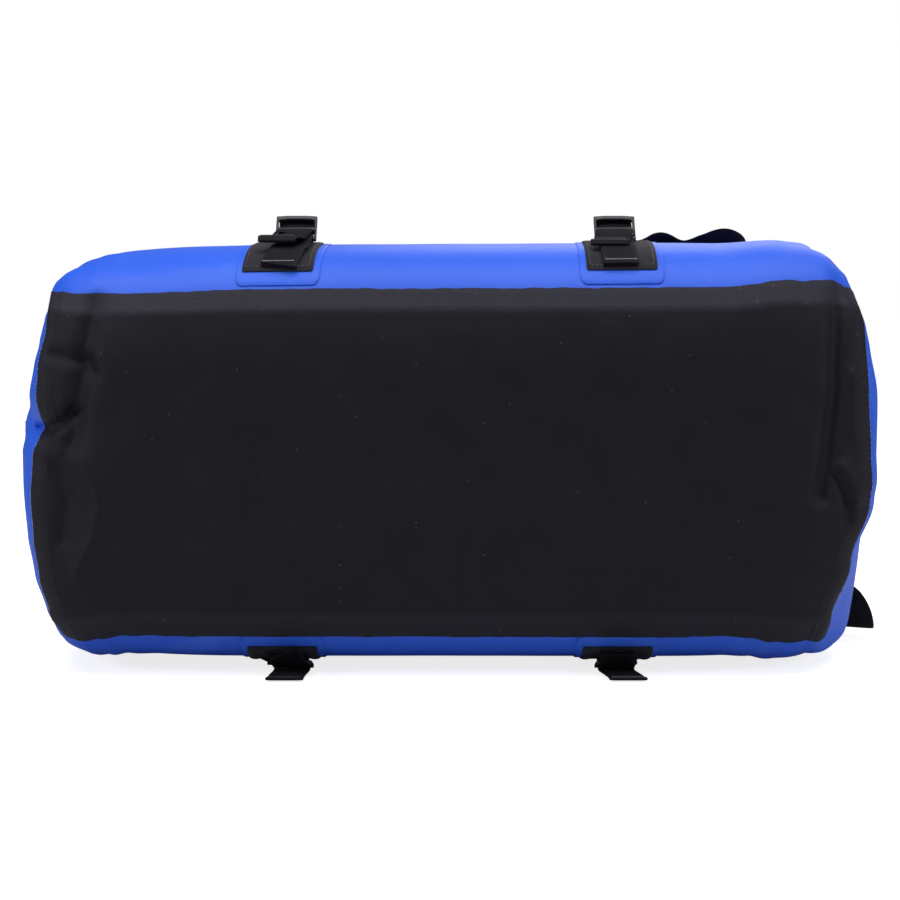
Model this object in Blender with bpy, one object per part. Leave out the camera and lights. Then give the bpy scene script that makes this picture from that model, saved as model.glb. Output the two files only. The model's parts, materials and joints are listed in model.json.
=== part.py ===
"""Waterproof roll-top duffel (dry bag), lying on its back side with its base panel facing -Y.

Metres, +Z up. X runs along the bag, Y from the base (-Y) to the rolled mouth (+Y), and the floor is z = 0.
The origin is on the floor, in the middle of the bag's length and of its depth.
"""

import math

import bmesh
import bpy
from mathutils import Matrix, Vector

# Overall form of the stuffed bag
BAG_LENGTH = 0.620
BAG_WIDTH = 0.300  # from back side to front side, vertical as the bag lies
BASE_DEPTH = 0.135  # from the widest line to where the rounded base would end
BASE_FLAT = 0.0006  # how much of that rounding is flattened off, which leaves a flat base
MOUTH_DEPTH = 0.140  # from the widest line to the neck
BASE_POWER = 4.5  # how square the cross-section is on the base side
MOUTH_POWER = 2.2  # and on the mouth side, where it slopes to the neck
END_CROWN = 0.08  # how much an end panel domes, as a share of half the length
END_CORNER = 14  # how tight the corner between a side and an end is
FABRIC = 0.0020
SEAM_X = 0.287  # where the end panels are welded on
SEAM_SETBACK = 0.030  # how far the base panel's long edges stop short of the front and back sides
NECK_GAP = 0.032  # width of the slot between the front and back panels under the roll
BELLY_GAP = 0.0050  # room under the bag for the back strap and its locks

# Clearances
CLEAR = 0.0003  # between pieces that lie on each other
RUNNING = 0.0004  # round a bar that turns in its loop

# Webbing and the patches it is sewn to
WEBBING_WIDTH = 0.025
WEBBING = 0.0015
PATCH = 0.0008
WELD_PATCH_WIDTH = 0.059
STRAP_PATCH_WIDTH = 0.049
WELD_PATCH_FROM = -0.1345
STRAP_PATCH_FROM = -0.1270
STRAP_PATCH_TO = -0.0680
WELD_PATCH_TO = -0.0610
LOCK_X = 0.119  # each ladder lock's distance from the middle of the bag

# Ladder lock: a flat frame with three bars, A in the loop, B toothed, C at the free end
LOCK_RAIL = 0.00235  # width of each side of its frame
LOCK_THICKNESS = 0.0032
BAR = 0.0030
LOOP_INNER = 0.0022  # radius inside the webbing loop, room for bar A to turn
BAR_B = 0.0105  # distance from bar A
BAR_C = 0.0210
FRONT_BAR_Y = -0.095
BACK_BAR_Y = -0.1180
FRONT_LOCK_ANGLE = math.radians(28)
BACK_LOCK_ANGLE = math.radians(15)

# Padded grips on the carry straps
GRIP_LENGTH = 0.130
GRIP_EDGE = 0.0055  # padding beyond each edge of the strap
GRIP_THICKNESS = 0.012
FRONT_GRIP_Y = 0.056
BACK_GRIP_Y = 0.073

# Rolled mouth
ROLL_LENGTH = 0.570
ROLL_TURNS = 3.0
ROLL_LAYER = 0.0026  # the doubled fabric
ROLL_PITCH = 0.0036
ROLL_CORE = 0.0014
ROLL_FLAT = 0.0090
STIFFENER = 0.0012
STIFFENER_WIDTH = 0.015
ROLL_SEAT = 0.0006  # between the roll and the neck

# Side-release buckles that tie the roll down to the ends
BUCKLE_CHEEK = 0.0041  # from the webbing's slot to the buckle's edge
FEMALE_LENGTH = 0.036
FEMALE_THICKNESS = 0.009
FEMALE_WALL = 0.0016
FEMALE_FROM = 0.030  # distance of its anchored end from the widest line, towards the mouth
TONGUE_GAP = 0.0004  # round the male half in its housing
TONGUE_LENGTH = 0.0215
MALE_BODY = 0.022

# Grab handle on each end
HANDLE_SPAN = 0.092  # between its sewn feet
HANDLE_FOOT = 0.016
HANDLE_MIDDLE = 0.030  # its middle's distance from the widest line, towards the mouth
HANDLE_DROP = 0.034  # its feet's distance below the middle of the end
HANDLE_STEPS = 28
HANDLES = (  # height over the floor to which each hangs, and how far its band turns away from the end there
    ("left", -1, 0.093, math.radians(30)),
    ("right", 1, 0.021, math.radians(78)),
)
HANDLE_HANG = 0.012  # how far inside the bag's ends its slack may hang

# Derived places
HALF_LENGTH = BAG_LENGTH / 2
HALF_WIDTH = BAG_WIDTH / 2
MIDDLE_Z = HALF_WIDTH + BELLY_GAP
NECK_DEPTH = MOUTH_DEPTH * (1 - (NECK_GAP / BAG_WIDTH) ** MOUTH_POWER) ** (1 / MOUTH_POWER)
ROLL_NEAR = ROLL_CORE + ROLL_LAYER + ROLL_PITCH * (ROLL_TURNS - 0.25)  # from the roll's axis to the neck
ROLL_FAR = ROLL_CORE + ROLL_LAYER + ROLL_PITCH * (ROLL_TURNS - 0.75)
OVERALL_DEPTH = BASE_DEPTH - BASE_FLAT + NECK_DEPTH + ROLL_SEAT + ROLL_NEAR + ROLL_FAR
WIDEST_Y = BASE_DEPTH - BASE_FLAT - OVERALL_DEPTH / 2
ROLL_Y = WIDEST_Y + NECK_DEPTH + ROLL_SEAT + ROLL_NEAR
LOCK_WIDTH = WEBBING_WIDTH + 2 * (RUNNING + LOCK_RAIL)
GRIP_WIDTH = WEBBING_WIDTH + 2 * GRIP_EDGE
BUCKLE_WIDTH = WEBBING_WIDTH + 2 * (RUNNING + BUCKLE_CHEEK)
MALE_THICKNESS = FEMALE_THICKNESS - 2 * (FEMALE_WALL + TONGUE_GAP)
WELD_PATCH_TOP = CLEAR + PATCH
STRAP_PATCH_TOP = WELD_PATCH_TOP + CLEAR + PATCH
BAR_HEIGHT = STRAP_PATCH_TOP + CLEAR + WEBBING + LOOP_INNER
LOOP_RADIUS = LOOP_INNER + WEBBING / 2

COLOURS = {
    "blue_tarpaulin": ((0.04, 0.16, 0.80), 0.38),
    "black_base": ((0.018, 0.017, 0.024), 0.62),
    "black_webbing": ((0.020, 0.020, 0.028), 0.80),
    "black_plastic": ((0.022, 0.022, 0.030), 0.42),
    "white_strip": ((0.70, 0.70, 0.68), 0.50),
}


def material(name):
    """One Principled material for each finish."""
    made = bpy.data.materials.get(name)
    if made is None:
        made = bpy.data.materials.new(name)
        made.use_nodes = True
        colour, roughness = COLOURS[name]
        shader = made.node_tree.nodes["Principled BSDF"]
        shader.inputs["Base Color"].default_value = (*colour, 1)
        shader.inputs["Roughness"].default_value = roughness
        shader.inputs["Metallic"].default_value = 0.0
        made.diffuse_color = (*colour, 1)
    return made


def object_from(bm, name, finish, smooth=True):
    """Closes a bmesh into a named object with its faces pointing out."""
    bmesh.ops.remove_doubles(bm, verts=bm.verts, dist=1e-6)
    bmesh.ops.recalc_face_normals(bm, faces=bm.faces)
    mesh = bpy.data.meshes.new(name)
    bm.to_mesh(mesh)
    bm.free()
    if smooth:
        mesh.shade_smooth()
        mesh.set_sharp_from_angle(angle=math.radians(35))
    made = bpy.data.objects.new(name, mesh)
    mesh.materials.append(material(finish))
    bpy.context.scene.collection.objects.link(made)
    return made


# The bag's form


def depth_and_power(towards_base, offset):
    """Half depth and power of the cross-section on its base side or its mouth side."""
    if towards_base:
        return BASE_DEPTH + offset, BASE_POWER
    return MOUTH_DEPTH + offset, MOUTH_POWER


def section(angle, offset=0.0):
    """(y, z) from the bag's axis to its cross-section, angle counted from the base towards the front."""
    depth, power = depth_and_power(math.cos(angle) > 0, offset)
    along, across = abs(math.cos(angle)) / depth, abs(math.sin(angle)) / (HALF_WIDTH + offset)
    reach = (along**power + across**power) ** (-1 / power)
    flat = BASE_DEPTH - BASE_FLAT + offset
    return max(-math.cos(angle) * reach, -flat), math.sin(angle) * reach


def length_at(girth):
    """Distance along the bag, as a share of half its length, where its section is girth times full size."""
    return (1 - END_CROWN * girth**2) * (1 - min(girth, 1.0) ** END_CORNER) ** (2 / END_CORNER)


def girth_at(x, offset=0.0):
    """Size of the section at x, as a share of the middle one: length_at read backwards."""
    share = abs(x) / (HALF_LENGTH + offset)
    low, high = 0.0, 1.0
    for _ in range(50):
        middle = (low + high) / 2
        if length_at(middle) > share:
            low = middle
        else:
            high = middle
    return low


def tube_point(x, angle, offset=0.0):
    """A point of the bag's side at x, pushed out by offset."""
    girth = girth_at(x, offset)
    y, z = section(angle, offset)
    return Vector((x, WIDEST_Y + y * girth, MIDDLE_Z + z * girth))


def end_point(girth, angle, side, offset=0.0):
    """A point of an end panel, at girth times the full section."""
    y, z = section(angle, offset)
    x = side * (HALF_LENGTH + offset) * length_at(girth)
    return Vector((x, WIDEST_Y + y * girth, MIDDLE_Z + z * girth))


def side_height(x, y, offset=0.0):
    """Height of the bag's front surface above its middle plane at (x, y)."""
    girth = girth_at(x, offset)
    from_axis = y - WIDEST_Y
    depth, power = depth_and_power(from_axis < 0, offset)
    rest = 1 - min(abs(from_axis) / (depth * girth), 1.0) ** power
    return girth * (HALF_WIDTH + offset) * rest ** (1 / power)


def side_angle(y):
    """Section angle at which the front surface is at y, in the middle of the bag."""
    return math.atan2(side_height(0, y), WIDEST_Y - y)


def end_reach(y, z, offset=0.0):
    """How far out an end panel is at (y, z), with z counted from the middle plane."""
    from_axis = y - WIDEST_Y
    depth, power = depth_and_power(from_axis < 0, offset)
    girth = ((abs(from_axis) / depth) ** power + (abs(z) / (HALF_WIDTH + offset)) ** power) ** (1 / power)
    return (HALF_LENGTH + offset) * length_at(girth)


# Ways of making a solid


def sheet(name, finish, outer, inner):
    """A closed sheet between two grids of points, which are lists of rows."""
    bm = bmesh.new()
    layers = [[[bm.verts.new(p) for p in row] for row in grid] for grid in (outer, inner)]
    rows, columns = len(outer), len(outer[0])
    for layer in layers:
        for i in range(rows - 1):
            for j in range(columns - 1):
                bm.faces.new((layer[i][j], layer[i][j + 1], layer[i + 1][j + 1], layer[i + 1][j]))
    rim = [(0, j) for j in range(columns)] + [(i, columns - 1) for i in range(1, rows)]
    rim += [(rows - 1, j) for j in range(columns - 2, -1, -1)] + [(i, 0) for i in range(rows - 2, 0, -1)]
    top, under = layers
    for (i, j), (k, m) in zip(rim, rim[1:] + rim[:1]):
        bm.faces.new((top[i][j], top[k][m], under[k][m], under[i][j]))
    return object_from(bm, name, finish)


def ribbon(name, finish, centres, across, width=WEBBING_WIDTH, thickness=WEBBING):
    """A band of webbing swept along centres, with its width along the matching across vector."""
    bm = bmesh.new()
    rings = []
    last = len(centres) - 1
    for i, centre in enumerate(centres):
        tangent = (centres[min(i + 1, last)] - centres[max(i - 1, 0)]).normalized()
        normal = tangent.cross(across[i]).normalized()
        wide = normal.cross(tangent).normalized() * (width / 2)
        thick = normal * (thickness / 2)
        corners = (centre + wide + thick, centre - wide + thick, centre - wide - thick, centre + wide - thick)
        rings.append([bm.verts.new(p) for p in corners])
    for near, far in zip(rings, rings[1:]):
        for k in range(4):
            bm.faces.new((near[k], near[(k + 1) % 4], far[(k + 1) % 4], far[k]))
    bm.faces.new(rings[0])
    bm.faces.new(rings[-1])
    return object_from(bm, name, finish)


def plate(name, finish, outlines, thickness, bevel=0.0):
    """A flat piece from closed outlines in its own XY plane: the first is its edge, the others are holes."""
    curve = bpy.data.curves.new(name, "CURVE")
    curve.dimensions = "2D"
    curve.fill_mode = "BOTH"
    curve.extrude = thickness / 2 - bevel
    curve.bevel_depth = bevel
    curve.offset = -bevel
    curve.bevel_resolution = 0
    for outline in outlines:
        spline = curve.splines.new("POLY")
        spline.points.add(len(outline) - 1)
        for point, (x, y) in zip(spline.points, outline):
            point.co = (x, y, 0, 1)
        spline.use_cyclic_u = True
    curve.materials.append(material(finish))
    made = bpy.data.objects.new(name, curve)
    bpy.context.scene.collection.objects.link(made)
    return made


def rounded_rectangle(x0, y0, x1, y1, radius, steps=3):
    """Corners of a rectangle with rounded corners, anticlockwise."""
    points = []
    corners = ((x1, y1, 0), (x0, y1, 90), (x0, y0, 180), (x1, y0, 270))
    for x, y, start in corners:
        centre_x = x - radius if x == x1 else x + radius
        centre_y = y - radius if y == y1 else y + radius
        for i in range(steps + 1):
            turn = math.radians(start + 90 * i / steps)
            points.append((centre_x + radius * math.cos(turn), centre_y + radius * math.sin(turn)))
    return points


def place(made, origin, x_axis, y_axis):
    """Puts an object at origin with its own X and Y along the given directions."""
    x, y = Vector(x_axis).normalized(), Vector(y_axis).normalized()
    made.matrix_world = Matrix.Translation(origin) @ Matrix((x, y, x.cross(y))).transposed().to_4x4()
    return made


def box(name, finish, low, high):
    """A plain block between two corners, in the bag's frame."""
    bm = bmesh.new()
    bmesh.ops.create_cube(bm, size=1)
    size = Vector(high) - Vector(low)
    bmesh.ops.scale(bm, vec=size, verts=bm.verts)
    bmesh.ops.translate(bm, vec=(Vector(low) + Vector(high)) / 2, verts=bm.verts)
    return object_from(bm, name, finish, smooth=False)


def cut(piece, cutter):
    """Takes the cutter out of the piece and hides it."""
    cutter.hide_render = True
    cutter.display_type = "WIRE"
    step = piece.modifiers.new("cut_" + cutter.name, "BOOLEAN")
    step.operation = "DIFFERENCE"
    step.object = cutter


def smooth_path(points, steps):
    """Points of a Catmull-Rom curve through the given ones, whatever numbers each of them holds."""
    padded = [points[0], *points, points[-1]]
    path = []
    for i in range(1, len(padded) - 2):
        before, start, end, after = padded[i - 1 : i + 3]
        for k in range(steps):
            t = k / steps
            path.append(
                tuple(
                    (2 * b + (c - a) * t + (2 * a - 5 * b + 4 * c - d) * t**2 + (3 * b - a - 3 * c + d) * t**3) / 2
                    for a, b, c, d in zip(before, start, end, after)
                )
            )
    return path + [tuple(points[-1])]


# Fabric panels


def stations(count):
    """Places along the bag, closer together towards its ends."""
    return [SEAM_X * math.sin(math.pi / 2 * (2 * i / count - 1)) for i in range(count + 1)]


def long_panel(name, finish, from_angle, to_angle, columns):
    """A panel that runs the length of the bag between two section angles."""
    angles = [from_angle + (to_angle - from_angle) * j / columns for j in range(columns + 1)]
    grids = [[[tube_point(x, angle, offset) for angle in angles] for x in stations(12)] for offset in (0, -FABRIC)]
    return sheet(name, finish, *grids)


def end_panel(name, side):
    """A domed end panel, a disc with its rim in the plane of the seam."""
    spokes, rings = 30, 4
    bm = bmesh.new()
    layers = []
    for offset in (0.0, -FABRIC):
        rim = girth_at(SEAM_X + CLEAR, offset)
        centre = bm.verts.new(end_point(0, 0.1, side, offset))
        layer = []
        for i in range(rings):
            girth = rim * (1 - i / rings)
            turns = [2 * math.pi * j / spokes for j in range(spokes)]
            layer.append([bm.verts.new(end_point(girth, turn, side, offset)) for turn in turns])
        for near, far in zip(layer, layer[1:]):
            for j in range(spokes):
                bm.faces.new((near[j - 1], near[j], far[j], far[j - 1]))
        for j in range(spokes):
            bm.faces.new((layer[-1][j - 1], layer[-1][j], centre))
        layers.append(layer[0])
    for j in range(spokes):
        bm.faces.new((layers[0][j - 1], layers[0][j], layers[1][j], layers[1][j - 1]))
    return object_from(bm, name, "blue_tarpaulin")


def make_panels():
    """The five pieces of coated fabric that hold the water out."""
    seam_height = HALF_WIDTH - SEAM_SETBACK
    seam_depth = BASE_DEPTH * (1 - (seam_height / HALF_WIDTH) ** BASE_POWER) ** (1 / BASE_POWER)
    seam = math.atan2(seam_height, seam_depth)
    seam_gap = 1.5 * CLEAR / seam_height
    neck = math.atan2(NECK_GAP / 2, -NECK_DEPTH)
    long_panel("base_panel", "black_base", -seam, seam, 12)
    long_panel("front_panel", "blue_tarpaulin", seam + seam_gap, neck, 14)
    long_panel("back_panel", "blue_tarpaulin", -neck, -seam - seam_gap, 14)
    end_panel("end_panel_left", -1)
    end_panel("end_panel_right", 1)


# Strap anchors: a welded blue patch, a sewn black patch, and a loop of webbing that holds the ladder lock


def side_patch(name, finish, middle_x, width, from_y, to_y, low, high, facing):
    """A patch that follows the bag's front (facing 1) or back (facing -1) surface."""
    columns, rows = 4, 6
    grids = []
    for offset in (high, low):
        grid = []
        for i in range(rows + 1):
            angle = side_angle(from_y + (to_y - from_y) * i / rows)
            xs = [middle_x + width * (j / columns - 0.5) for j in range(columns + 1)]
            grid.append([tube_point(x, facing * angle, offset) for x in xs])
        grids.append(grid)
    return sheet(name, finish, *grids)


def bar_centre(x, bar_y, facing):
    """Where bar A of a lock is, at the end of its loop."""
    return Vector((x, bar_y, MIDDLE_Z + facing * side_height(x, bar_y, BAR_HEIGHT)))


def lock_loop(name, x, bar_y, facing):
    """Webbing sewn to the patch, round bar A and back down on itself."""
    bar = bar_centre(x, bar_y, facing)
    lower = STRAP_PATCH_TOP + CLEAR + WEBBING / 2
    centres = []
    start_y = STRAP_PATCH_FROM + 0.0015
    reach = 4
    for i in range(reach):
        y = start_y + (bar_y - 0.0015 - start_y) * i / (reach - 1)
        centres.append(Vector((x, y, MIDDLE_Z + facing * side_height(x, y, lower))))
    for turn in range(-60, 121, 30):
        angle = math.radians(turn)
        centres.append(bar + LOOP_RADIUS * Vector((0, math.cos(angle), facing * math.sin(angle))))
    for back, layer in ((0.0050, 1.75), (0.0072, 1.30)):
        y = bar_y - back
        centres.append(Vector((x, y, MIDDLE_Z + facing * side_height(x, y, lower + layer * (WEBBING + CLEAR)))))
    return ribbon(name, "black_webbing", centres, [Vector((1, 0, 0))] * len(centres))


def ladder_lock(name, x, bar_y, facing, angle):
    """A frame with two slots, its bar A on the loop's axis."""
    half = LOCK_WIDTH / 2
    inner = WEBBING_WIDTH / 2 + RUNNING
    outlines = [rounded_rectangle(-half, -BAR / 2, half, BAR_C + BAR / 2, 0.003, 2)]
    for low, high in ((0.0, BAR_B), (BAR_B, BAR_C)):
        outlines.append(rounded_rectangle(-inner, low + BAR / 2, inner, high - BAR / 2, 0.0008, 1))
    lock = plate(name, "black_plastic", outlines, LOCK_THICKNESS, bevel=0.0006)
    along = Vector((0, math.cos(angle), facing * math.sin(angle)))
    place(lock, bar_centre(x, bar_y, facing), (1, 0, 0), along)


def make_strap_anchors():
    """Two anchors on the front side and two on the back side."""
    sides = (("front", 1, FRONT_BAR_Y, FRONT_LOCK_ANGLE), ("back", -1, BACK_BAR_Y, BACK_LOCK_ANGLE))
    for side, facing, bar_y, angle in sides:
        for end, x in (("left", -LOCK_X), ("right", LOCK_X)):
            tag = f"{side}_{end}"
            weld = (x, WELD_PATCH_WIDTH, WELD_PATCH_FROM, WELD_PATCH_TO, 1.4 * CLEAR, WELD_PATCH_TOP)
            side_patch(f"weld_patch_{tag}", "blue_tarpaulin", *weld, facing)
            sewn = (x, STRAP_PATCH_WIDTH, STRAP_PATCH_FROM, STRAP_PATCH_TO, WELD_PATCH_TOP + CLEAR, STRAP_PATCH_TOP)
            side_patch(f"strap_patch_{tag}", "black_webbing", *sewn, facing)
            lock_loop(f"lock_loop_{tag}", x, bar_y, facing)
            ladder_lock(f"ladder_lock_{tag}", x, bar_y, facing, angle)


# Carry straps


def mirrored(half):
    """A strap's route from its right lock to the middle, continued to its left lock."""
    return half + [(-x, *rest) for x, *rest in reversed(half)]


def lock_point(lock_x, bar_y, facing, angle, along, off):
    """(x, y, z) of a point in a lock's own frame: along it from bar A, and off its plane away from the bag."""
    bar = bar_centre(lock_x, bar_y, facing)
    y = bar.y + along * math.cos(angle) - off * math.sin(angle)
    z = bar.z + facing * (along * math.sin(angle) + off * math.cos(angle))
    return lock_x, y, z


def front_strap_route():
    """(x, y, z, tilt) from the slot of the right lock, under its bar C, and over the front side to the grip."""
    lock = (LOCK_X, FRONT_BAR_Y, 1, FRONT_LOCK_ANGLE)
    off_bar = LOCK_THICKNESS / 2 + WEBBING / 2 + RUNNING
    slot = (BAR_B + BAR_C) / 2
    route = [
        (*lock_point(*lock, slot + 0.0003, -0.0003), 0),
        (*lock_point(*lock, slot + 0.0010, -0.0022), 0),
        (*lock_point(*lock, BAR_C - 0.0005, -off_bar - 0.0006), 0),
        (*lock_point(*lock, BAR_C + 0.0048, -off_bar - 0.0006), 0),
    ]
    in_grip = GRIP_THICKNESS / 2 + CLEAR - WEBBING / 2
    on_panel = (  # (x, y, how far its lower edge is off the panel, tilt)
        (0.1205, -0.0560, 0.0068, 0),
        (0.1270, -0.0440, 0.0017, 0),
        (0.1480, -0.0260, 0.0013, 0),
        (0.1760, -0.0060, -0.0002, 20),
        (0.1960, 0.0180, -0.0001, 32),
        (0.1840, 0.0430, 0.0002, 24),
        (0.1500, 0.0550, 0.0009, 8),
        (0.1050, FRONT_GRIP_Y, 0.0033, 0),
        (0.0750, FRONT_GRIP_Y, in_grip, 0),
        (0.0350, FRONT_GRIP_Y, in_grip, 0),
    )
    for x, y, off, tilt in on_panel:
        lift = off + WEBBING / 2 + WEBBING_WIDTH / 2 * math.sin(math.radians(tilt))
        route.append((x, y, MIDDLE_Z + side_height(x, y, lift), tilt))
    return mirrored(route)


def back_strap_route():
    """(x, y, z, tilt) from the slot of the right lock, over its bar C, and along the floor to the grip."""
    lock = (LOCK_X, BACK_BAR_Y, -1, BACK_LOCK_ANGLE)
    off_bar = LOCK_THICKNESS / 2 + WEBBING / 2 + RUNNING
    slot = (BAR_B + BAR_C) / 2
    floor = WEBBING / 2
    in_grip = GRIP_THICKNESS / 2
    route = [
        (*lock_point(*lock, slot + 0.0003, -0.0003), 0),
        (*lock_point(*lock, slot + 0.0010, -0.0020), 0),
        (*lock_point(*lock, BAR_C - 0.0005, -off_bar - 0.0002), 0),
        (*lock_point(*lock, BAR_C + 0.0040, -off_bar + 0.0010), 0),
        (LOCK_X, -0.0850, floor + 0.0008, 0),
        (LOCK_X + 0.003, -0.0740, floor, 0),
        (0.1380, -0.0450, floor, 0),
        (0.1640, -0.0050, floor, 0),
        (0.1760, 0.0330, floor, 0),
        (0.1560, 0.0620, floor + 0.0004, 0),
        (0.1150, BACK_GRIP_Y - 0.001, floor + 0.0020, 0),
        (0.0750, BACK_GRIP_Y, in_grip, 0),
        (0.0350, BACK_GRIP_Y, in_grip, 0),
    ]
    return mirrored(route)


def strap_tail(name, x, bar_y, facing, angle, hem):
    """The free end of a strap, from its lock's slot over bar B and the loop to its hem."""
    lock = (x, bar_y, facing, angle)
    off_bar = LOCK_THICKNESS / 2 + WEBBING / 2 + RUNNING
    off_loop = LOOP_RADIUS + WEBBING + RUNNING
    slot = (BAR_B + BAR_C) / 2
    route = [
        *hem,
        lock_point(*lock, 0.0010, off_loop),
        lock_point(*lock, BAR_B - 0.0005, off_bar + 0.0002),
        lock_point(*lock, slot - 0.0012, 0.0019),
        lock_point(*lock, slot - 0.0003, 0.0003),
    ]
    centres = [Vector((x, y, max(z, WEBBING / 2))) for _, y, z in smooth_path(route, 3)]
    ribbon(name, "black_webbing", centres, [Vector((1, 0, 0))] * len(centres))


def front_hem(x):
    """Where a front strap's tail lies beyond its loop, starting from its end."""
    bar_y = FRONT_BAR_Y
    places = ((bar_y - 0.0190, 0.0056), (bar_y - 0.0130, 0.0062), (bar_y - 0.0070, 0.0082))
    return [(x, y, MIDDLE_Z + side_height(x, y, off)) for y, off in places]


def back_hem(x):
    """Where a back strap's tail reaches the floor in front of the bag, starting from its end."""
    bar_y = BACK_BAR_Y
    return [(x, bar_y - 0.0300, 0.0012), (x, bar_y - 0.0220, 0.0013), (x, bar_y - 0.0100, 0.0018)]


def front_slope(y):
    """Angle by which the front surface falls at y, in the middle of the bag."""
    step = 0.001
    return math.atan2(side_height(0, y + step) - side_height(0, y - step), 2 * step)


def carry_strap(name, route, follows_front):
    """One band from tail to tail. It lies on the front surface, or flat on the floor."""
    path = smooth_path(route, 4)
    lowest = 0 if follows_front else WEBBING / 2
    centres = [Vector((x, y, max(z, lowest))) for x, y, z, _ in path]
    across = []
    last = len(path) - 1
    for i, centre in enumerate(centres):
        tangent = (centres[min(i + 1, last)] - centres[max(i - 1, 0)]).normalized()
        on_lock = abs(tangent.x) < 0.25 and centre.y < -0.06
        slope = front_slope(centre.y) if follows_front and not on_lock else 0.0
        up = Vector((0, -math.sin(slope), math.cos(slope)))
        wide = Vector((1, 0, 0)) if on_lock else up.cross(tangent).normalized()
        side = 1 if wide.x + (0 if on_lock else wide.y) >= 0 else -1
        tilt = math.radians(path[i][3]) * (1 if centre.x > 0 else -1)
        across.append(Matrix.Rotation(tilt, 3, tangent) @ (wide * (1 if on_lock else side)))
    for i in range(1, len(across)):
        if across[i].dot(across[i - 1]) < 0:
            across[i].negate()
    return ribbon(name, "black_webbing", centres, across)


def grip(name, y, z, slope):
    """A padded wrap closed round the strap: a rounded bar with a slot through it."""
    edge = rounded_rectangle(-GRIP_WIDTH / 2, -GRIP_THICKNESS / 2, GRIP_WIDTH / 2, GRIP_THICKNESS / 2, 0.0055, 4)
    half_slot, half_gap = WEBBING_WIDTH / 2 + RUNNING, WEBBING / 2 + RUNNING
    slot = rounded_rectangle(-half_slot, -half_gap, half_slot, half_gap, 0.0003, 1)
    made = plate(name, "black_webbing", [edge, slot], GRIP_LENGTH)
    along = Vector((0, math.cos(slope), math.sin(slope)))
    off = Vector((0, -math.sin(slope), math.cos(slope)))
    return place(made, (0, y, z), along, off)


def make_carry_straps():
    """The two carry straps, each with a padded grip."""
    carry_strap("carry_strap_front", front_strap_route(), True)
    carry_strap("carry_strap_back", back_strap_route(), False)
    for end, x in (("left", -LOCK_X), ("right", LOCK_X)):
        strap_tail(f"strap_tail_front_{end}", x, FRONT_BAR_Y, 1, FRONT_LOCK_ANGLE, front_hem(x))
        strap_tail(f"strap_tail_back_{end}", x, BACK_BAR_Y, -1, BACK_LOCK_ANGLE, back_hem(x))
    front_z = MIDDLE_Z + side_height(0, FRONT_GRIP_Y, GRIP_THICKNESS / 2 + CLEAR)
    grip("grip_front", FRONT_GRIP_Y, front_z, front_slope(FRONT_GRIP_Y))
    grip("grip_back", BACK_GRIP_Y, GRIP_THICKNESS / 2, 0.0)


# Rolled mouth


def spiral(radius_shift):
    """Points of the flattened spiral that the doubled mouth fabric is rolled into."""
    steps = 20
    points = []
    for i in range(int(ROLL_TURNS * steps) + 1):
        turn = 2 * math.pi * i / steps
        radius = ROLL_CORE + ROLL_PITCH * turn / (2 * math.pi) + ROLL_LAYER / 2 + radius_shift
        flat = ROLL_FLAT * max(-1.0, min(1.0, 1.7 * math.cos(turn)))
        points.append((flat + radius * math.cos(turn), radius * math.sin(turn)))
    return points


def make_roll():
    """The rolled fabric with the two stiffening strips in its core."""
    outline = spiral(ROLL_LAYER / 2) + list(reversed(spiral(-ROLL_LAYER / 2)))
    roll = plate("mouth_roll", "blue_tarpaulin", [outline], ROLL_LENGTH)
    place(roll, (0, ROLL_Y, MIDDLE_Z), (0, 0, 1), (0, 1, 0))
    half = ROLL_LENGTH / 2
    for name, side in (("stiffener_inner", -1), ("stiffener_outer", 1)):
        near, far = sorted((side * RUNNING / 2, side * (RUNNING / 2 + STIFFENER)))
        low = (-half, ROLL_Y + near, MIDDLE_Z - STIFFENER_WIDTH / 2)
        high = (half, ROLL_Y + far, MIDDLE_Z + STIFFENER_WIDTH / 2)
        box(name, "white_strip", low, high)


# Buckles that tie the roll to the ends


def buckle_plane():
    """Distance from the bag's middle to the middle of a buckle's thickness."""
    under = STRAP_PATCH_TOP + CLEAR + WEBBING
    return end_reach(WIDEST_Y + FEMALE_FROM, 0) + under + CLEAR + FEMALE_THICKNESS / 2


def female_buckle(name, side):
    """An open-ended housing with a webbing slot at its anchored end and windows for the arms."""
    middle, low_y = side * buckle_plane(), WIDEST_Y + FEMALE_FROM
    high_y = low_y + FEMALE_LENGTH
    half_x, half_z = FEMALE_THICKNESS / 2, BUCKLE_WIDTH / 2
    body = box(name, "black_plastic", (middle - half_x, low_y, MIDDLE_Z - half_z), (middle + half_x, high_y, MIDDLE_Z + half_z))
    edge = body.modifiers.new("edges", "BEVEL")
    edge.width = 0.0012
    edge.segments = 2
    inner_x = half_x - FEMALE_WALL
    slot_z = WEBBING_WIDTH / 2 + RUNNING
    past = 0.002
    cavity = (
        (middle - inner_x, high_y - TONGUE_LENGTH - 0.002, MIDDLE_Z - half_z + FEMALE_WALL),
        (middle + inner_x, high_y + past, MIDDLE_Z + half_z - FEMALE_WALL),
    )
    slot = (
        (middle - half_x - past, low_y + 0.0030, MIDDLE_Z - slot_z),
        (middle + half_x + past, low_y + 0.0078, MIDDLE_Z + slot_z),
    )
    windows = (
        (middle - inner_x, high_y - TONGUE_LENGTH + 0.001, MIDDLE_Z - half_z - past),
        (middle + inner_x, high_y - 0.0055, MIDDLE_Z + half_z + past),
    )
    for label, corners in (("cavity", cavity), ("slot", slot), ("windows", windows)):
        cut(body, box(f"{name}_{label}", "black_plastic", *corners))


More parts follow.
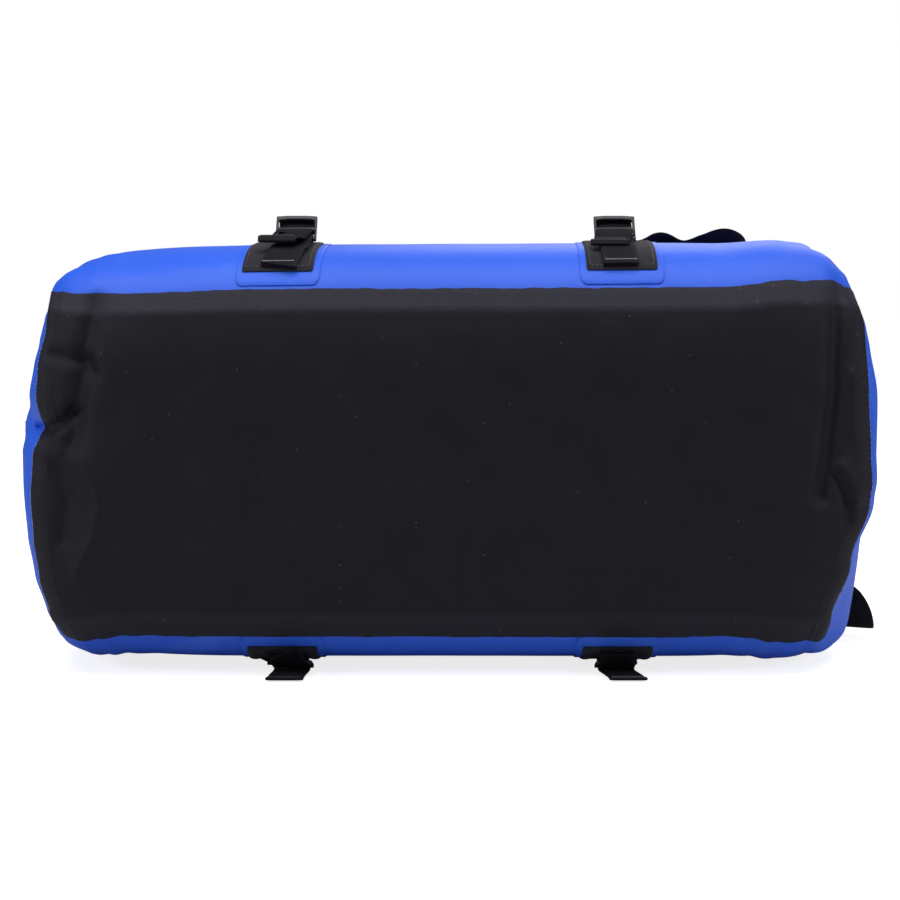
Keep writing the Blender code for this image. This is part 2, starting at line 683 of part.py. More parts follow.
def male_buckle(name, side):
    """A body with a webbing bar, a middle tongue and two arms, lying in the housing."""
    half = BUCKLE_WIDTH / 2
    arm_out = half - FEMALE_WALL - 2 * CLEAR
    tip = -TONGUE_LENGTH
    arm = 0.0042
    profile = [
        (half, CLEAR),
        (half, MALE_BODY),
        (-half, MALE_BODY),
        (-half, CLEAR),
        (-arm_out, CLEAR),
        (-arm_out, tip + 0.005),
        (-arm_out + 0.003, tip),
        (-arm_out + arm, tip + 0.001),
        (-arm_out + arm, -0.002),
        (-0.0032, -0.002),
        (-0.0032, tip + 0.003),
        (0.0032, tip + 0.003),
        (0.0032, -0.002),
        (arm_out - arm, -0.002),
        (arm_out - arm, tip + 0.001),
        (arm_out - 0.003, tip),
        (arm_out, tip + 0.005),
        (arm_out, CLEAR),
    ]
    slot_half = WEBBING_WIDTH / 2 + RUNNING
    slot = rounded_rectangle(-slot_half, MALE_BODY - 0.0082, slot_half, MALE_BODY - 0.0032, 0.0006, 1)
    made = plate(name, "black_plastic", [profile, slot], MALE_THICKNESS, bevel=0.0005)
    mouth_y = WIDEST_Y + FEMALE_FROM + FEMALE_LENGTH
    place(made, (side * buckle_plane(), mouth_y, MIDDLE_Z), (0, 0, side), (0, 1, 0))


def anchor_webbing(name, side):
    """Webbing sewn to the end patch and looped round the housing's bar."""
    low_y = WIDEST_Y + FEMALE_FROM
    bar_y = low_y + 0.0015
    outside = FEMALE_THICKNESS / 2 + WEBBING / 2 + RUNNING
    sewn = STRAP_PATCH_TOP + CLEAR + WEBBING / 2
    points = []
    for i in range(6):
        y = WIDEST_Y - 0.042 + i * (bar_y - WIDEST_Y + 0.042) / 5
        points.append((end_reach(y, 0, sewn), y))
    plane = buckle_plane()
    points += [
        (plane - outside, low_y + 0.0040),
        (plane - outside + 0.0020, low_y + 0.0054),
        (plane + outside - 0.0020, low_y + 0.0054),
        (plane + outside, low_y + 0.0030),
        (plane + outside, low_y + 0.0002),
        (plane + outside - 0.0022, low_y - 0.0040),
        (end_reach(low_y - 0.0100, 0, sewn + WEBBING + CLEAR) + 0.0004, low_y - 0.0100),
        (end_reach(low_y - 0.0230, 0, sewn + WEBBING + CLEAR), low_y - 0.0230),
    ]
    points[5] = (min(points[5][0], plane - outside), bar_y)
    centres = [Vector((side * x, y, MIDDLE_Z)) for x, y in points]
    return ribbon(name, "black_webbing", centres, [Vector((0, 0, 1))] * len(centres))


def closure_strap(name, side):
    """Webbing from the end of the roll, over the bag's shoulder, to the buckle's bar."""
    plane = buckle_plane()
    bar_y = WIDEST_Y + FEMALE_FROM + FEMALE_LENGTH + MALE_BODY - 0.0016
    slot_y = bar_y - 0.0041
    off = MALE_THICKNESS / 2 + WEBBING / 2 + RUNNING
    start = ROLL_LENGTH / 2 + CLEAR
    points = [
        (start, ROLL_Y),
        (start + 0.010, ROLL_Y),
        (start + 0.020, ROLL_Y - 0.0025),
        (plane + off + 0.0010, ROLL_Y - 0.0100),
        (plane + off + 0.0060, ROLL_Y - 0.0220),
        (plane + off, bar_y + 0.0120),
        (plane + off, slot_y + 0.0016),
        (plane + off - 0.0018, slot_y + 0.0001),
        (plane - off + 0.0018, slot_y + 0.0001),
        (plane - off, slot_y + 0.0016),
        (plane - off, bar_y + 0.0120),
        (plane - off - 0.0002, bar_y + 0.0200),
    ]
    centres = [Vector((side * x, y, MIDDLE_Z)) for x, y in points]
    return ribbon(name, "black_webbing", centres, [Vector((0, 0, 1))] * len(centres))


def end_patch(name, side):
    """The black patch on an end panel, under the anchor webbing and the handle's feet."""
    rows, columns = 9, 6
    from_y, to_y = WIDEST_Y - 0.050, WIDEST_Y + HANDLE_MIDDLE + HANDLE_SPAN / 2 + HANDLE_FOOT + 0.006
    low_z, high_z = -HANDLE_DROP - 0.018, 0.022
    grids = []
    for offset in (STRAP_PATCH_TOP, CLEAR):
        grid = []
        for i in range(rows + 1):
            y = from_y + (to_y - from_y) * i / rows
            zs = [low_z + (high_z - low_z) * j / columns for j in range(columns + 1)]
            grid.append([Vector((side * (end_reach(y, z) + offset), y, MIDDLE_Z + z)) for z in zs])
        grids.append(grid)
    return sheet(name, "black_webbing", *grids)


def handle_point(side, y, drop, wide, out):
    """Middle of the handle's band at y, drop below the middle of the end, clear of it by out."""
    lift = STRAP_PATCH_TOP + CLEAR + WEBBING / 2 + out
    half = WEBBING_WIDTH / 2
    fullest = max(end_reach(y + k * half * abs(wide.y), drop - half * abs(wide.z)) for k in (-1, 0, 1))
    x = max(fullest, HALF_LENGTH - HANDLE_HANG) + lift + half * abs(wide.x)
    return Vector((side * x, y, MIDDLE_Z - drop))


def handle_sag(share, slack):
    """How far the band hangs below its feet at a share of its span."""
    return slack * math.sin(math.pi * share) ** 2


def handle_foot(name, side, towards_mouth, slack):
    """A sewn end of the handle, flat on the end patch, clear of the corner of the band that swings out of it."""
    middle = WIDEST_Y + HANDLE_MIDDLE
    corner = WEBBING_WIDTH / 2 * handle_sag(1 / HANDLE_STEPS, slack) / (HANDLE_SPAN / HANDLE_STEPS)
    near = middle + towards_mouth * (HANDLE_SPAN / 2 + corner + CLEAR / 2)
    ys = [near + towards_mouth * HANDLE_FOOT * i / 4 for i in range(5)]
    centres = [handle_point(side, y, HANDLE_DROP, Vector((0, 0, 1)), 0.0003) for y in ys]
    ribbon(name, "black_webbing", centres, [Vector((0, 0, 1))] * len(centres))


def grab_handle(name, side, slack, tilt):
    """A slack band that hangs between its feet and stands out a little at its belly."""
    steps = HANDLE_STEPS
    shares = [i / steps for i in range(steps + 1)]
    route = [(HANDLE_SPAN * (t - 0.5), handle_sag(t, slack)) for t in shares]
    centres, across = [], []
    for i, (along, sag) in enumerate(route):
        turn = tilt * sag / slack
        before, after = route[max(i - 1, 0)], route[min(i + 1, steps)]
        tangent = Vector((0, after[0] - before[0], before[1] - after[1])).normalized()
        wide = Vector((side * math.sin(turn), 0, math.cos(turn)))
        wide = (wide - wide.dot(tangent) * tangent).normalized()
        y = WIDEST_Y + HANDLE_MIDDLE + along
        centres.append(handle_point(side, y, HANDLE_DROP + sag, wide, 0.0005))
        across.append(wide)
    ribbon(name, "black_webbing", centres, across)


def make_ends():
    """Buckle, straps, patch and grab handle on each end."""
    for end, side, belly, tilt in HANDLES:
        slack = MIDDLE_Z - HANDLE_DROP - belly
        end_patch(f"end_patch_{end}", side)
        anchor_webbing(f"buckle_anchor_{end}", side)
        female_buckle(f"buckle_female_{end}", side)
        male_buckle(f"buckle_male_{end}", side)
        closure_strap(f"closure_strap_{end}", side)
        grab_handle(f"grab_handle_{end}", side, slack, tilt)
        handle_foot(f"handle_foot_base_{end}", side, -1, slack)
        handle_foot(f"handle_foot_mouth_{end}", side, 1, slack)


def clear_scene():
    for old in list(bpy.data.objects):
        bpy.data.objects.remove(old, do_unlink=True)


clear_scene()
make_panels()
make_strap_anchors()
make_carry_straps()
make_roll()
make_ends()
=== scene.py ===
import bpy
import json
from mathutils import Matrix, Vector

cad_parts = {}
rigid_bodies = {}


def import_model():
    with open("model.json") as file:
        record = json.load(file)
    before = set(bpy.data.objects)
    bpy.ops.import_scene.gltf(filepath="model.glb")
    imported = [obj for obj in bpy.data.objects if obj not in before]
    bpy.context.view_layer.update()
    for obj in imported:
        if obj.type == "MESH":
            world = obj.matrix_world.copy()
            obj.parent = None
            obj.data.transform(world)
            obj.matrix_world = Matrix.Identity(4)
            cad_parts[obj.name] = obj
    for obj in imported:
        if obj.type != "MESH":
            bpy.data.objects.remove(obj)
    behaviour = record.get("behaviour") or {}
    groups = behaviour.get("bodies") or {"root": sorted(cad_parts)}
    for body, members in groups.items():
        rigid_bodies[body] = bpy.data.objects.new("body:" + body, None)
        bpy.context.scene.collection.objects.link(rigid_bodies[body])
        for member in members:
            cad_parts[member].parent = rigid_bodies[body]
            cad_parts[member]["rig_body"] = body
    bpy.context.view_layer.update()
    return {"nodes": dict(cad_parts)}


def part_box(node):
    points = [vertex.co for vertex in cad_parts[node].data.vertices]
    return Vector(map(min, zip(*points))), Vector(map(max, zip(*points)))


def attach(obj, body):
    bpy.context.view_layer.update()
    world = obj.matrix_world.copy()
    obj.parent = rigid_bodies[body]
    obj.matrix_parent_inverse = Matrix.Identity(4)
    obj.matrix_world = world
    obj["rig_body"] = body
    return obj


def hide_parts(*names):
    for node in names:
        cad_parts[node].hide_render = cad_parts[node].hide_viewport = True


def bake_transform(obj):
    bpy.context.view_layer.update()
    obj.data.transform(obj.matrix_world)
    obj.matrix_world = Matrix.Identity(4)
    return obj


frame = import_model()

import json
import math

import bmesh
import bpy
from mathutils import Matrix, Vector, noise

noise.seed_set(7)  # noise_vector would follow the clock otherwise

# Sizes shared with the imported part, in metres
HALF_LENGTH = 0.310
HALF_WIDTH = 0.150
BASE_DEPTH, BASE_POWER, BASE_FLAT = 0.135, 4.5, 0.0006
MOUTH_DEPTH, MOUTH_POWER = 0.140, 2.2
END_CROWN, END_CORNER = 0.08, 14
WIDEST_Y, MIDDLE_Z = -0.0158682, 0.155
SEAM_X = 0.287
ROLL_Y = 0.1381682
NECK_Y = 0.1236682
NECK_HALF = 0.016
WEBBING_WIDTH, WEBBING = 0.025, 0.0015
FRONT_BAR_Y, BACK_BAR_Y = -0.095, -0.118
FRONT_BAR_Z, BACK_BAR_Z = 0.308537, 0.007759
BUCKLE_PLANE = sum(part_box("buckle_male_right")[i].x for i in (0, 1)) / 2
HOUSING_Y, HOUSING_LENGTH = WIDEST_Y + 0.030, 0.036
SEWN = 0.0014 + 0.0004 + WEBBING / 2  # middle of the webbing over an end patch
CLOTH_RADIUS = 0.14  # turns an angle round the bag into metres along its cloth
UP = Vector((0, 0, 1))


# The bag's form


def half_form(base, offset):
    """Depth and roundness of the section's base half or mouth half."""
    return (BASE_DEPTH + offset, BASE_POWER) if base else (MOUTH_DEPTH + offset, MOUTH_POWER)


def section(angle, offset=0.0):
    """(y, z) from the bag's axis to its cross-section, angle counted from the base towards the front."""
    depth, power = half_form(math.cos(angle) > 0, offset)
    along, across = abs(math.cos(angle)) / depth, abs(math.sin(angle)) / (HALF_WIDTH + offset)
    reach = (along**power + across**power) ** (-1 / power)
    flat = BASE_DEPTH - BASE_FLAT + offset
    return max(-math.cos(angle) * reach, -flat), math.sin(angle) * reach


def length_at(girth):
    """How far along the bag its section has shrunk to girth, as a share of the half length."""
    return (1 - END_CROWN * girth**2) * (1 - min(girth, 1.0) ** END_CORNER) ** (2 / END_CORNER)


def girth_at(x, offset=0.0):
    """Size of the section at x, as a share of the middle one."""
    share = abs(x) / (HALF_LENGTH + offset)
    low, high = 0.0, 1.0
    for _ in range(40):
        middle = (low + high) / 2
        if length_at(middle) > share:
            low = middle
        else:
            high = middle
    return low


def side_height(x, y, offset=0.0):
    """Height of the front surface above the middle plane."""
    girth = girth_at(x, offset)
    from_axis = y - WIDEST_Y
    depth, power = half_form(from_axis < 0, offset)
    rest = 1 - min(abs(from_axis) / (depth * girth), 1.0) ** power
    return girth * (HALF_WIDTH + offset) * rest ** (1 / power)


def side_angle(y):
    """The section's angle where the bag's side is at y."""
    return math.atan2(side_height(0, y), WIDEST_Y - y)


def end_reach(y, z, offset=0.0):
    """How far out an end is at (y, z), with z counted from the middle plane."""
    from_axis = y - WIDEST_Y
    depth, power = half_form(from_axis < 0, offset)
    girth = ((abs(from_axis) / depth) ** power + (abs(z) / (HALF_WIDTH + offset)) ** power) ** (1 / power)
    return (HALF_LENGTH + offset) * length_at(min(girth, 1.0))


def ease(t):
    """0 to 1, flat at both ends."""
    t = min(max(t, 0.0), 1.0)
    return t * t * (3 - 2 * t)


def swell(value, middle, width):
    """A rounded ridge, 1 at middle and fading over width."""
    return math.exp(-(((value - middle) / width) ** 2))


def hemmed(value, middle, width):
    """A narrow fold, 1 at middle and gone at width from it."""
    return ease(1 - abs(value - middle) / width)


def through(points, t):
    """A smooth curve of value against t through (t, value) points."""
    if t <= points[0][0]:
        return points[0][1]
    for (t0, v0), (t1, v1) in zip(points, points[1:]):
        if t <= t1:
            return v0 + (v1 - v0) * ease((t - t0) / (t1 - t0))
    return points[-1][1]


# How the stuffed bag differs from its pattern, for its left (-1) and right (1) end.
# (height, how far the end seam moves out), and the same for the end beyond it:
SEAM_PULL = {
    -1: [
        (0.0, -0.022), (0.038, -0.0110), (0.054, -0.0028), (0.075, 0.0026), (0.099, 0.0057), (0.128, 0.0071),
        (0.158, 0.0050), (0.171, 0.0005), (0.178, -0.0020), (0.1985, 0.0022), (0.219, 0.0008), (0.247, -0.0044),
        (0.271, -0.0056), (0.300, -0.0070),
    ],
    1: [
        (0.0, -0.030), (0.032, -0.0215), (0.053, -0.0164), (0.0825, -0.0048), (0.1235, 0.0075), (0.137, 0.0090),
        (0.158, 0.0075), (0.201, 0.0053), (0.247, 0.0030), (0.2755, -0.0033), (0.300, -0.0060),
    ],
}
END_FILL = {
    -1: [
        (0.015, -0.0100), (0.030, -0.0080), (0.047, -0.0045), (0.065, -0.0030), (0.084, -0.0025), (0.121, -0.0018),
        (0.159, 0.0018), (0.175, 0.0030), (0.196, -0.0024), (0.233, -0.0067), (0.252, -0.0110), (0.270, -0.0147),
        (0.290, -0.0160),
    ],
    1: [
        (0.015, -0.0140), (0.030, -0.0080), (0.047, -0.0065), (0.084, -0.0054), (0.121, -0.0038), (0.159, -0.0022),
        (0.196, 0.0004), (0.233, -0.0040), (0.252, -0.0070), (0.270, -0.0055), (0.290, -0.0120),
    ],
}
# (distance from the bag's middle, how far its lower and upper outline move down and up):
CORNER_DROOP = {
    -1: [
        (0.215, 0.0), (0.240, 0.0020), (0.258, 0.0066), (0.272, 0.011), (0.290, 0.014),
    ],
    1: [
        (0.200, 0.0), (0.225, 0.0020), (0.2425, 0.0060), (0.272, 0.010), (0.284, 0.016), (0.300, 0.018),
    ],
}
CORNER_RISE = {
    -1: [
        (0.130, 0.0), (0.180, -0.0010), (0.2245, -0.0026), (0.260, 0.0), (0.278, 0.0022),
    ],
    1: [
        (0.190, 0.0), (0.2425, 0.0052), (0.268, 0.0074), (0.280, 0.0030), (0.292, -0.0040),
    ],
}
CREASES = [  # ((x, z) points, width, how far the fabric is pushed in)
    ([(-0.290, 0.176), (-0.280, 0.176), (-0.268, 0.183), (-0.262, 0.190)], 0.0045, 0.0058),
    ([(-0.290, 0.176), (-0.284, 0.175)], 0.0048, 0.0055),
    ([(-0.276, 0.229), (-0.264, 0.227), (-0.252, 0.224), (-0.247, 0.216)], 0.0048, 0.0047),
    ([(-0.246, 0.262), (-0.252, 0.235), (-0.256, 0.205), (-0.262, 0.165)], 0.0068, 0.0055),
    ([(-0.258, 0.162), (-0.247, 0.145), (-0.243, 0.125), (-0.249, 0.100), (-0.260, 0.078)], 0.0061, -0.0035),
    ([(-0.272, 0.150), (-0.266, 0.128), (-0.270, 0.100)], 0.0065, 0.0035),
    ([(0.268, 0.268), (0.267, 0.235), (0.266, 0.200), (0.262, 0.160), (0.258, 0.130)], 0.0056, 0.0055),
    ([(0.281, 0.215), (0.280, 0.190), (0.281, 0.172)], 0.0039, -0.0030),
    ([(0.274, 0.150), (0.281, 0.138), (0.284, 0.126)], 0.0041, -0.0035),
    ([(0.268, 0.145), (0.276, 0.128), (0.279, 0.112)], 0.0036, 0.0033),
]


def from_line(x, z, points):
    """Distance from (x, z) to a line through points."""
    nearest = 9.0
    for (x0, z0), (x1, z1) in zip(points, points[1:]):
        dx, dz = x1 - x0, z1 - z0
        t = min(max(((x - x0) * dx + (z - z0) * dz) / (dx * dx + dz * dz), 0.0), 1.0)
        nearest = min(nearest, math.hypot(x - x0 - t * dx, z - z0 - t * dz))
    return nearest


def settled(point):
    """Moves a point of the pattern to where it lies on the stuffed bag."""
    x, y, z = point
    side = 1 if x >= 0 else -1
    shift = through(SEAM_PULL[side], z) * ease((abs(x) - 0.15) / 0.137) * ease((-0.06 - y) / 0.06)
    beyond = ease((abs(x) - 0.284) / 0.022)
    shift += through(END_FILL[side], z) * beyond * (1 - 0.65 * ease((y + 0.076) / 0.022))
    corner = 0.0115 * ease((z - 0.250) / 0.03) + 0.0085 * ease((0.040 - z) / 0.025)
    shift -= corner * ease((abs(x) - 0.235) / 0.045) * (1 - ease((-0.088 - y) / 0.018))
    new_x = x + side * shift
    height = z - MIDDLE_Z
    new_z = MIDDLE_Z + height * (1 + 0.040 * x * (1 if height > 0 else 0.3))
    sagging = ease((0.02 - y) / 0.09)
    new_z -= through(CORNER_DROOP[side], abs(x)) * ease((0.10 - z) / 0.07) * sagging
    new_z = max(new_z, min(z, 0.0030))
    new_z += through(CORNER_RISE[side], abs(x)) * ease((z - 0.20) / 0.08) * sagging
    push = 0.0
    if y < -0.05:
        facing = ease((-0.085 - y) / 0.035)
        for points, width, depth in CREASES:
            if abs(new_x - points[0][0]) < 0.09:
                away = from_line(new_x, new_z, points)
                if away < 3 * width:
                    push += depth * swell(away, 0.0, width) * facing
    soft = noise.noise_vector(Vector((new_x * 7.0, y * 9.0, new_z * 9.0)))
    fine = noise.noise_vector(Vector((new_x * 24.0 + 3.1, y * 26.0, new_z * 26.0)))
    near_end = 0.35 + 0.65 * ease((abs(x) - 0.18) / 0.10)
    wander = Vector((soft.x * 0.0006, soft.y * 0.0011, soft.z * 0.0010)) * near_end
    wander += Vector((fine.x * 0.0002, fine.y * 0.00035, fine.z * 0.00035)) * near_end
    return Vector((new_x, y + push, new_z)) + wander


def tube_point(x, angle, offset=0.0):
    """A point of the bag's side at x, pushed out by offset."""
    girth = girth_at(x, offset)
    y, z = section(angle, offset)
    return settled((x, WIDEST_Y + y * girth, MIDDLE_Z + z * girth))


def end_point(girth, angle, side, offset=0.0):
    """A point of the left (-1) or right (1) end, where the section has shrunk to girth."""
    y, z = section(angle, offset)
    x = side * (HALF_LENGTH + offset) * length_at(girth)
    return settled((x, WIDEST_Y + y * girth, MIDDLE_Z + z * girth))


def on_side(x, y, lift, facing=1):
    """A point over the front (1) or back (-1) of the bag."""
    return settled((x, y, MIDDLE_Z + facing * side_height(x, y, lift)))


# Making meshes


def finished(name, bm, finish, body=None, replaces=(), angle=40):
    """A named object from a bmesh, with its normals out, its material and the body it rides on."""
    bmesh.ops.remove_doubles(bm, verts=bm.verts, dist=2e-6)
    bmesh.ops.recalc_face_normals(bm, faces=bm.faces)
    mesh = bpy.data.meshes.new(name)
    bm.to_mesh(mesh)
    bm.free()
    mesh.shade_smooth()
    mesh.set_sharp_from_angle(angle=math.radians(angle))
    made = bpy.data.objects.new(name, mesh)
    bpy.context.scene.collection.objects.link(made)
    mesh.materials.append(finish)
    if body:
        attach(made, body)
    if replaces:
        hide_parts(*replaces)
    return made


def shell(name, outer, inner, finish, slot, body, replaces, uv, masks=None):
    """A closed sheet between two grids of points. uv and masks hold one value for each point of the outer grid."""
    bm = bmesh.new()
    rows, columns = len(outer), len(outer[0])
    flat = bm.loops.layers.uv.new("cloth")
    mask = bm.verts.layers.float.new("weld")
    layers = [[[bm.verts.new(p) for p in row] for row in grid] for grid in (outer, inner)]
    place = {}
    for layer in layers:
        for i in range(rows):
            for j in range(columns):
                layer[i][j][mask] = masks[i][j] if masks else 0.0
                place[layer[i][j]] = uv[i][j]
        for i in range(rows - 1):
            for j in range(columns - 1):
                bm.faces.new((layer[i][j], layer[i][j + 1], layer[i + 1][j + 1], layer[i + 1][j]))
    rim = [(0, j) for j in range(columns)] + [(i, columns - 1) for i in range(1, rows)]
    rim += [(rows - 1, j) for j in range(columns - 2, -1, -1)] + [(i, 0) for i in range(rows - 2, 0, -1)]
    top, under = layers
    for (i, j), (k, m) in zip(rim, rim[1:] + rim[:1]):
        bm.faces.new((top[i][j], top[k][m], under[k][m], under[i][j]))
    for face in bm.faces:
        for loop in face.loops:
            loop[flat].uv = place[loop.vert]
    return finished(name, bm, finish, body, replaces)


def smooth_path(points, steps):
    """Points of a Catmull-Rom curve through the given ones, whatever numbers each holds."""
    padded = [points[0], *points, points[-1]]
    path = []
    for i in range(1, len(padded) - 2):
        a, b, c, d = padded[i - 1 : i + 3]
        for k in range(steps):
            t = k / steps
            path.append(tuple(
                (2 * q + (r - p) * t + (2 * p - 5 * q + 4 * r - s) * t**2 + (3 * q - p - 3 * r + s) * t**3) / 2
                for p, q, r, s in zip(a, b, c, d)
            ))
    return path + [tuple(points[-1])]


def band(name, centres, across, body=None, replaces=(), width=WEBBING_WIDTH, thickness=WEBBING, sheared=False):
    """Webbing with rounded edges along centres, its width along the matching across vectors. The UV is in metres."""
    columns = 10
    bm = bmesh.new()
    flat = bm.loops.layers.uv.new("cloth")
    last = len(centres) - 1
    profile = []
    for k in range(columns + 1):
        u = -1 + 2 * k / columns
        profile.append((u * (width / 2 - 0.0004), thickness / 2 * (1 - 0.35 * abs(u) ** 8)))
    ring = [(width / 2, 0.0), *reversed(profile), (-width / 2, 0.0), *((u, -t) for u, t in profile)]
    rings, lengths, run = [], [], 0.0
    for i, centre in enumerate(centres):
        tangent = (centres[min(i + 1, last)] - centres[max(i - 1, 0)]).normalized()
        normal = tangent.cross(across[i]).normalized()
        wide = across[i].normalized() if sheared else normal.cross(tangent).normalized()
        run += (centre - centres[i - 1]).length if i else 0.0
        lengths.append(run)
        rings.append([bm.verts.new(centre + wide * u + normal * t) for u, t in ring])
    count = len(ring)
    for i, (near, far) in enumerate(zip(rings, rings[1:])):
        for k in range(count):
            m = (k + 1) % count
            face = bm.faces.new((near[k], near[m], far[m], far[k]))
            for loop, corner, row in zip(face.loops, (k, m, m, k), (i, i, i + 1, i + 1)):
                loop[flat].uv = (ring[corner][0], lengths[row])
    for ends, v in ((rings[0], 0.0), (rings[-1], run)):
        face = bm.faces.new(ends)
        for loop, (u, _) in zip(face.loops, ring):
            loop[flat].uv = (u, v)
    return finished(name, bm, WEB, body, replaces, angle=60)


def stitching(name, rows, body, finish, thickness=0.0005):
    """Short raised stitches. rows holds (start, end, normal) for each one."""
    sides = [math.pi * k / 3 for k in range(6)]
    bm = bmesh.new()
    for start, end, normal in rows:
        along = (end - start).normalized()
        aside = along.cross(normal).normalized()
        lift = aside.cross(along).normalized()
        rings = []
        for t, size in ((0.0, 0.25), (0.18, 0.85), (0.5, 1.0), (0.82, 0.85), (1.0, 0.25)):
            middle = start.lerp(end, t) + lift * (thickness * (0.15 + 0.35 * math.sin(math.pi * t)))
            rings.append([
                bm.verts.new(middle + (aside * math.cos(a) + lift * math.sin(a)) * thickness / 2 * size) for a in sides
            ])
        for near, far in zip(rings, rings[1:]):
            for k in range(6):
                bm.faces.new((near[k], near[(k + 1) % 6], far[(k + 1) % 6], far[k]))
        bm.faces.new(rings[0])
        bm.faces.new(rings[-1])
    return finished(name, bm, finish, body, angle=70)


def seam_rows(path, normal, pitch, gap, zigzag=0.0):
    """Stitches along a path of points: their start, end and normal."""
    rows = []
    normal = normal.normalized()
    total = sum((b - a).length for a, b in zip(path, path[1:]))
    count = max(int(total / pitch), 1)

    def at(distance):
        left = distance
        for i in range(len(path) - 1):
            step = (path[i + 1] - path[i]).length
            if left <= step or i == len(path) - 2:
                t = min(left / max(step, 1e-9), 1.0)
                return path[i].lerp(path[i + 1], t), (path[i + 1] - path[i]).normalized()
            left -= step

    for k in range(count):
        start, along = at(k * total / count + gap / 2)
        stop, _ = at((k + 1) * total / count - gap / 2)
        aside = normal.cross(along).normalized() * zigzag
        rows.append((start + aside, stop - aside, normal))
    return rows


# Finishes


def group(name, inputs, outputs):
    """An empty node group with the given (name, default) inputs and (name, kind) outputs."""
    made = bpy.data.node_groups.new(name, "ShaderNodeTree")
    for label, default in inputs:
        kind = "NodeSocketVector" if default is None else "NodeSocketFloat"
        socket = made.interface.new_socket(label, in_out="INPUT", socket_type=kind)
        if default is not None:
            socket.default_value = default
    for label, kind in outputs:
        made.interface.new_socket(label, in_out="OUTPUT", socket_type="NodeSocket" + kind)
    return made, made.nodes.new("NodeGroupInput"), made.nodes.new("NodeGroupOutput")


def feed(tree, sockets, values):
    """Links each value that is an output, and sets the others."""
    for socket, value in zip(sockets, values):
        if isinstance(value, (int, float, tuple)):
            socket.default_value = value
        else:
            tree.links.new(value, socket)


def maths(tree, operation, *values):
    node = tree.nodes.new("ShaderNodeMath")
    node.operation = operation
    feed(tree, node.inputs, values)
    return node.outputs[0]


def mixed(tree, share, a, b):
    """Colour a, turning to b by share."""
    node = tree.nodes.new("ShaderNodeMix")
    node.data_type = "RGBA"
    feed(tree, (node.inputs[0], node.inputs[6], node.inputs[7]), (share, a, b))
    return node.outputs[2]


def marked(tree, colour, mask, most, mark):
    """The colour with up to most of the mark's colour where the mask is."""
    return mixed(tree, maths(tree, "MULTIPLY", mask, most), colour, mark)


def noise_of(tree, vector, scale, detail, roughness=0.5, distortion=0.0):
    node = tree.nodes.new("ShaderNodeTexNoise")
    sockets = [node.inputs[label] for label in ("Vector", "Scale", "Detail", "Roughness", "Distortion")]
    feed(tree, sockets, (vector, scale, detail, roughness, distortion))
    return node.outputs["Fac"]


def ramp(tree, value, low, high):
    """0 at low to 1 at high."""
    node = tree.nodes.new("ShaderNodeMapRange")
    node.inputs["From Min"].default_value = low
    node.inputs["From Max"].default_value = high
    tree.links.new(value, node.inputs["Value"])
    return node.outputs["Result"]


HEIGHT_AND_HIGHLIGHT = [("Height", "Float"), ("Thread Highlight", "Float")]


def plain_weave():
    """Over-and-under threads: Height, and where threads catch the light."""
    made, start, end = group("plain weave", [("Vector", None), ("Thread", 0.0009)], HEIGHT_AND_HIGHLIGHT)
    split = made.nodes.new("ShaderNodeSeparateXYZ")
    made.links.new(start.outputs["Vector"], split.inputs[0])
    turns = maths(made, "DIVIDE", math.pi, start.outputs["Thread"])
    along = maths(made, "MULTIPLY", split.outputs[0], turns)
    up = maths(made, "MULTIPLY", split.outputs[1], turns)
    warp, weft = maths(made, "SINE", along), maths(made, "SINE", up)
    over = maths(made, "MULTIPLY", warp, weft)
    made.links.new(maths(made, "ABSOLUTE", over), end.inputs["Height"])
    made.links.new(maths(made, "MULTIPLY_ADD", over, 0.5, 0.5), end.inputs["Thread Highlight"])
    return made


def webbing_weave():
    """Ribbed herringbone of narrow webbing, on a UV in metres across and along."""
    made, start, end = group("webbing weave", [("Vector", None), ("Rib", 0.0016)], HEIGHT_AND_HIGHLIGHT)
    split = made.nodes.new("ShaderNodeSeparateXYZ")
    made.links.new(start.outputs["Vector"], split.inputs[0])
    turns = maths(made, "DIVIDE", 2 * math.pi, start.outputs["Rib"])
    across = maths(made, "MULTIPLY", split.outputs[0], turns)
    slant = maths(made, "PINGPONG", split.outputs[0], 0.0032)
    along = maths(made, "MULTIPLY", maths(made, "ADD", split.outputs[1], slant), turns)
    ribs, picks = (maths(made, "MULTIPLY_ADD", maths(made, "SINE", turn), 0.5, 0.5) for turn in (across, along))
    height = maths(made, "MULTIPLY_ADD", picks, 0.6, maths(made, "MULTIPLY", ribs, 0.4))
    made.links.new(height, end.inputs["Height"])
    # lighter where ribs and picks stand up together: a painted highlight for the colour
    made.links.new(maths(made, "MULTIPLY", picks, ribs), end.inputs["Thread Highlight"])
    return made


def lint_specks():
    """Tiny pale fibres and dust caught on dark cloth."""
    made, start, end = group("lint specks", [("Vector", None), ("Size", 190.0), ("Amount", 0.09)], [("Mask", "Float")])
    cells = made.nodes.new("ShaderNodeTexVoronoi")
    cells.inputs["Randomness"].default_value = 1.0
    made.links.new(start.outputs["Size"], cells.inputs["Scale"])
    made.links.new(start.outputs["Vector"], cells.inputs["Vector"])
    split = made.nodes.new("ShaderNodeSeparateColor")
    made.links.new(cells.outputs["Color"], split.inputs[0])
    chosen = maths(made, "LESS_THAN", split.outputs[0], start.outputs["Amount"])
    near = maths(made, "LESS_THAN", cells.outputs["Distance"], 0.11)
    made.links.new(maths(made, "MULTIPLY", chosen, near), end.inputs["Mask"])
    return made


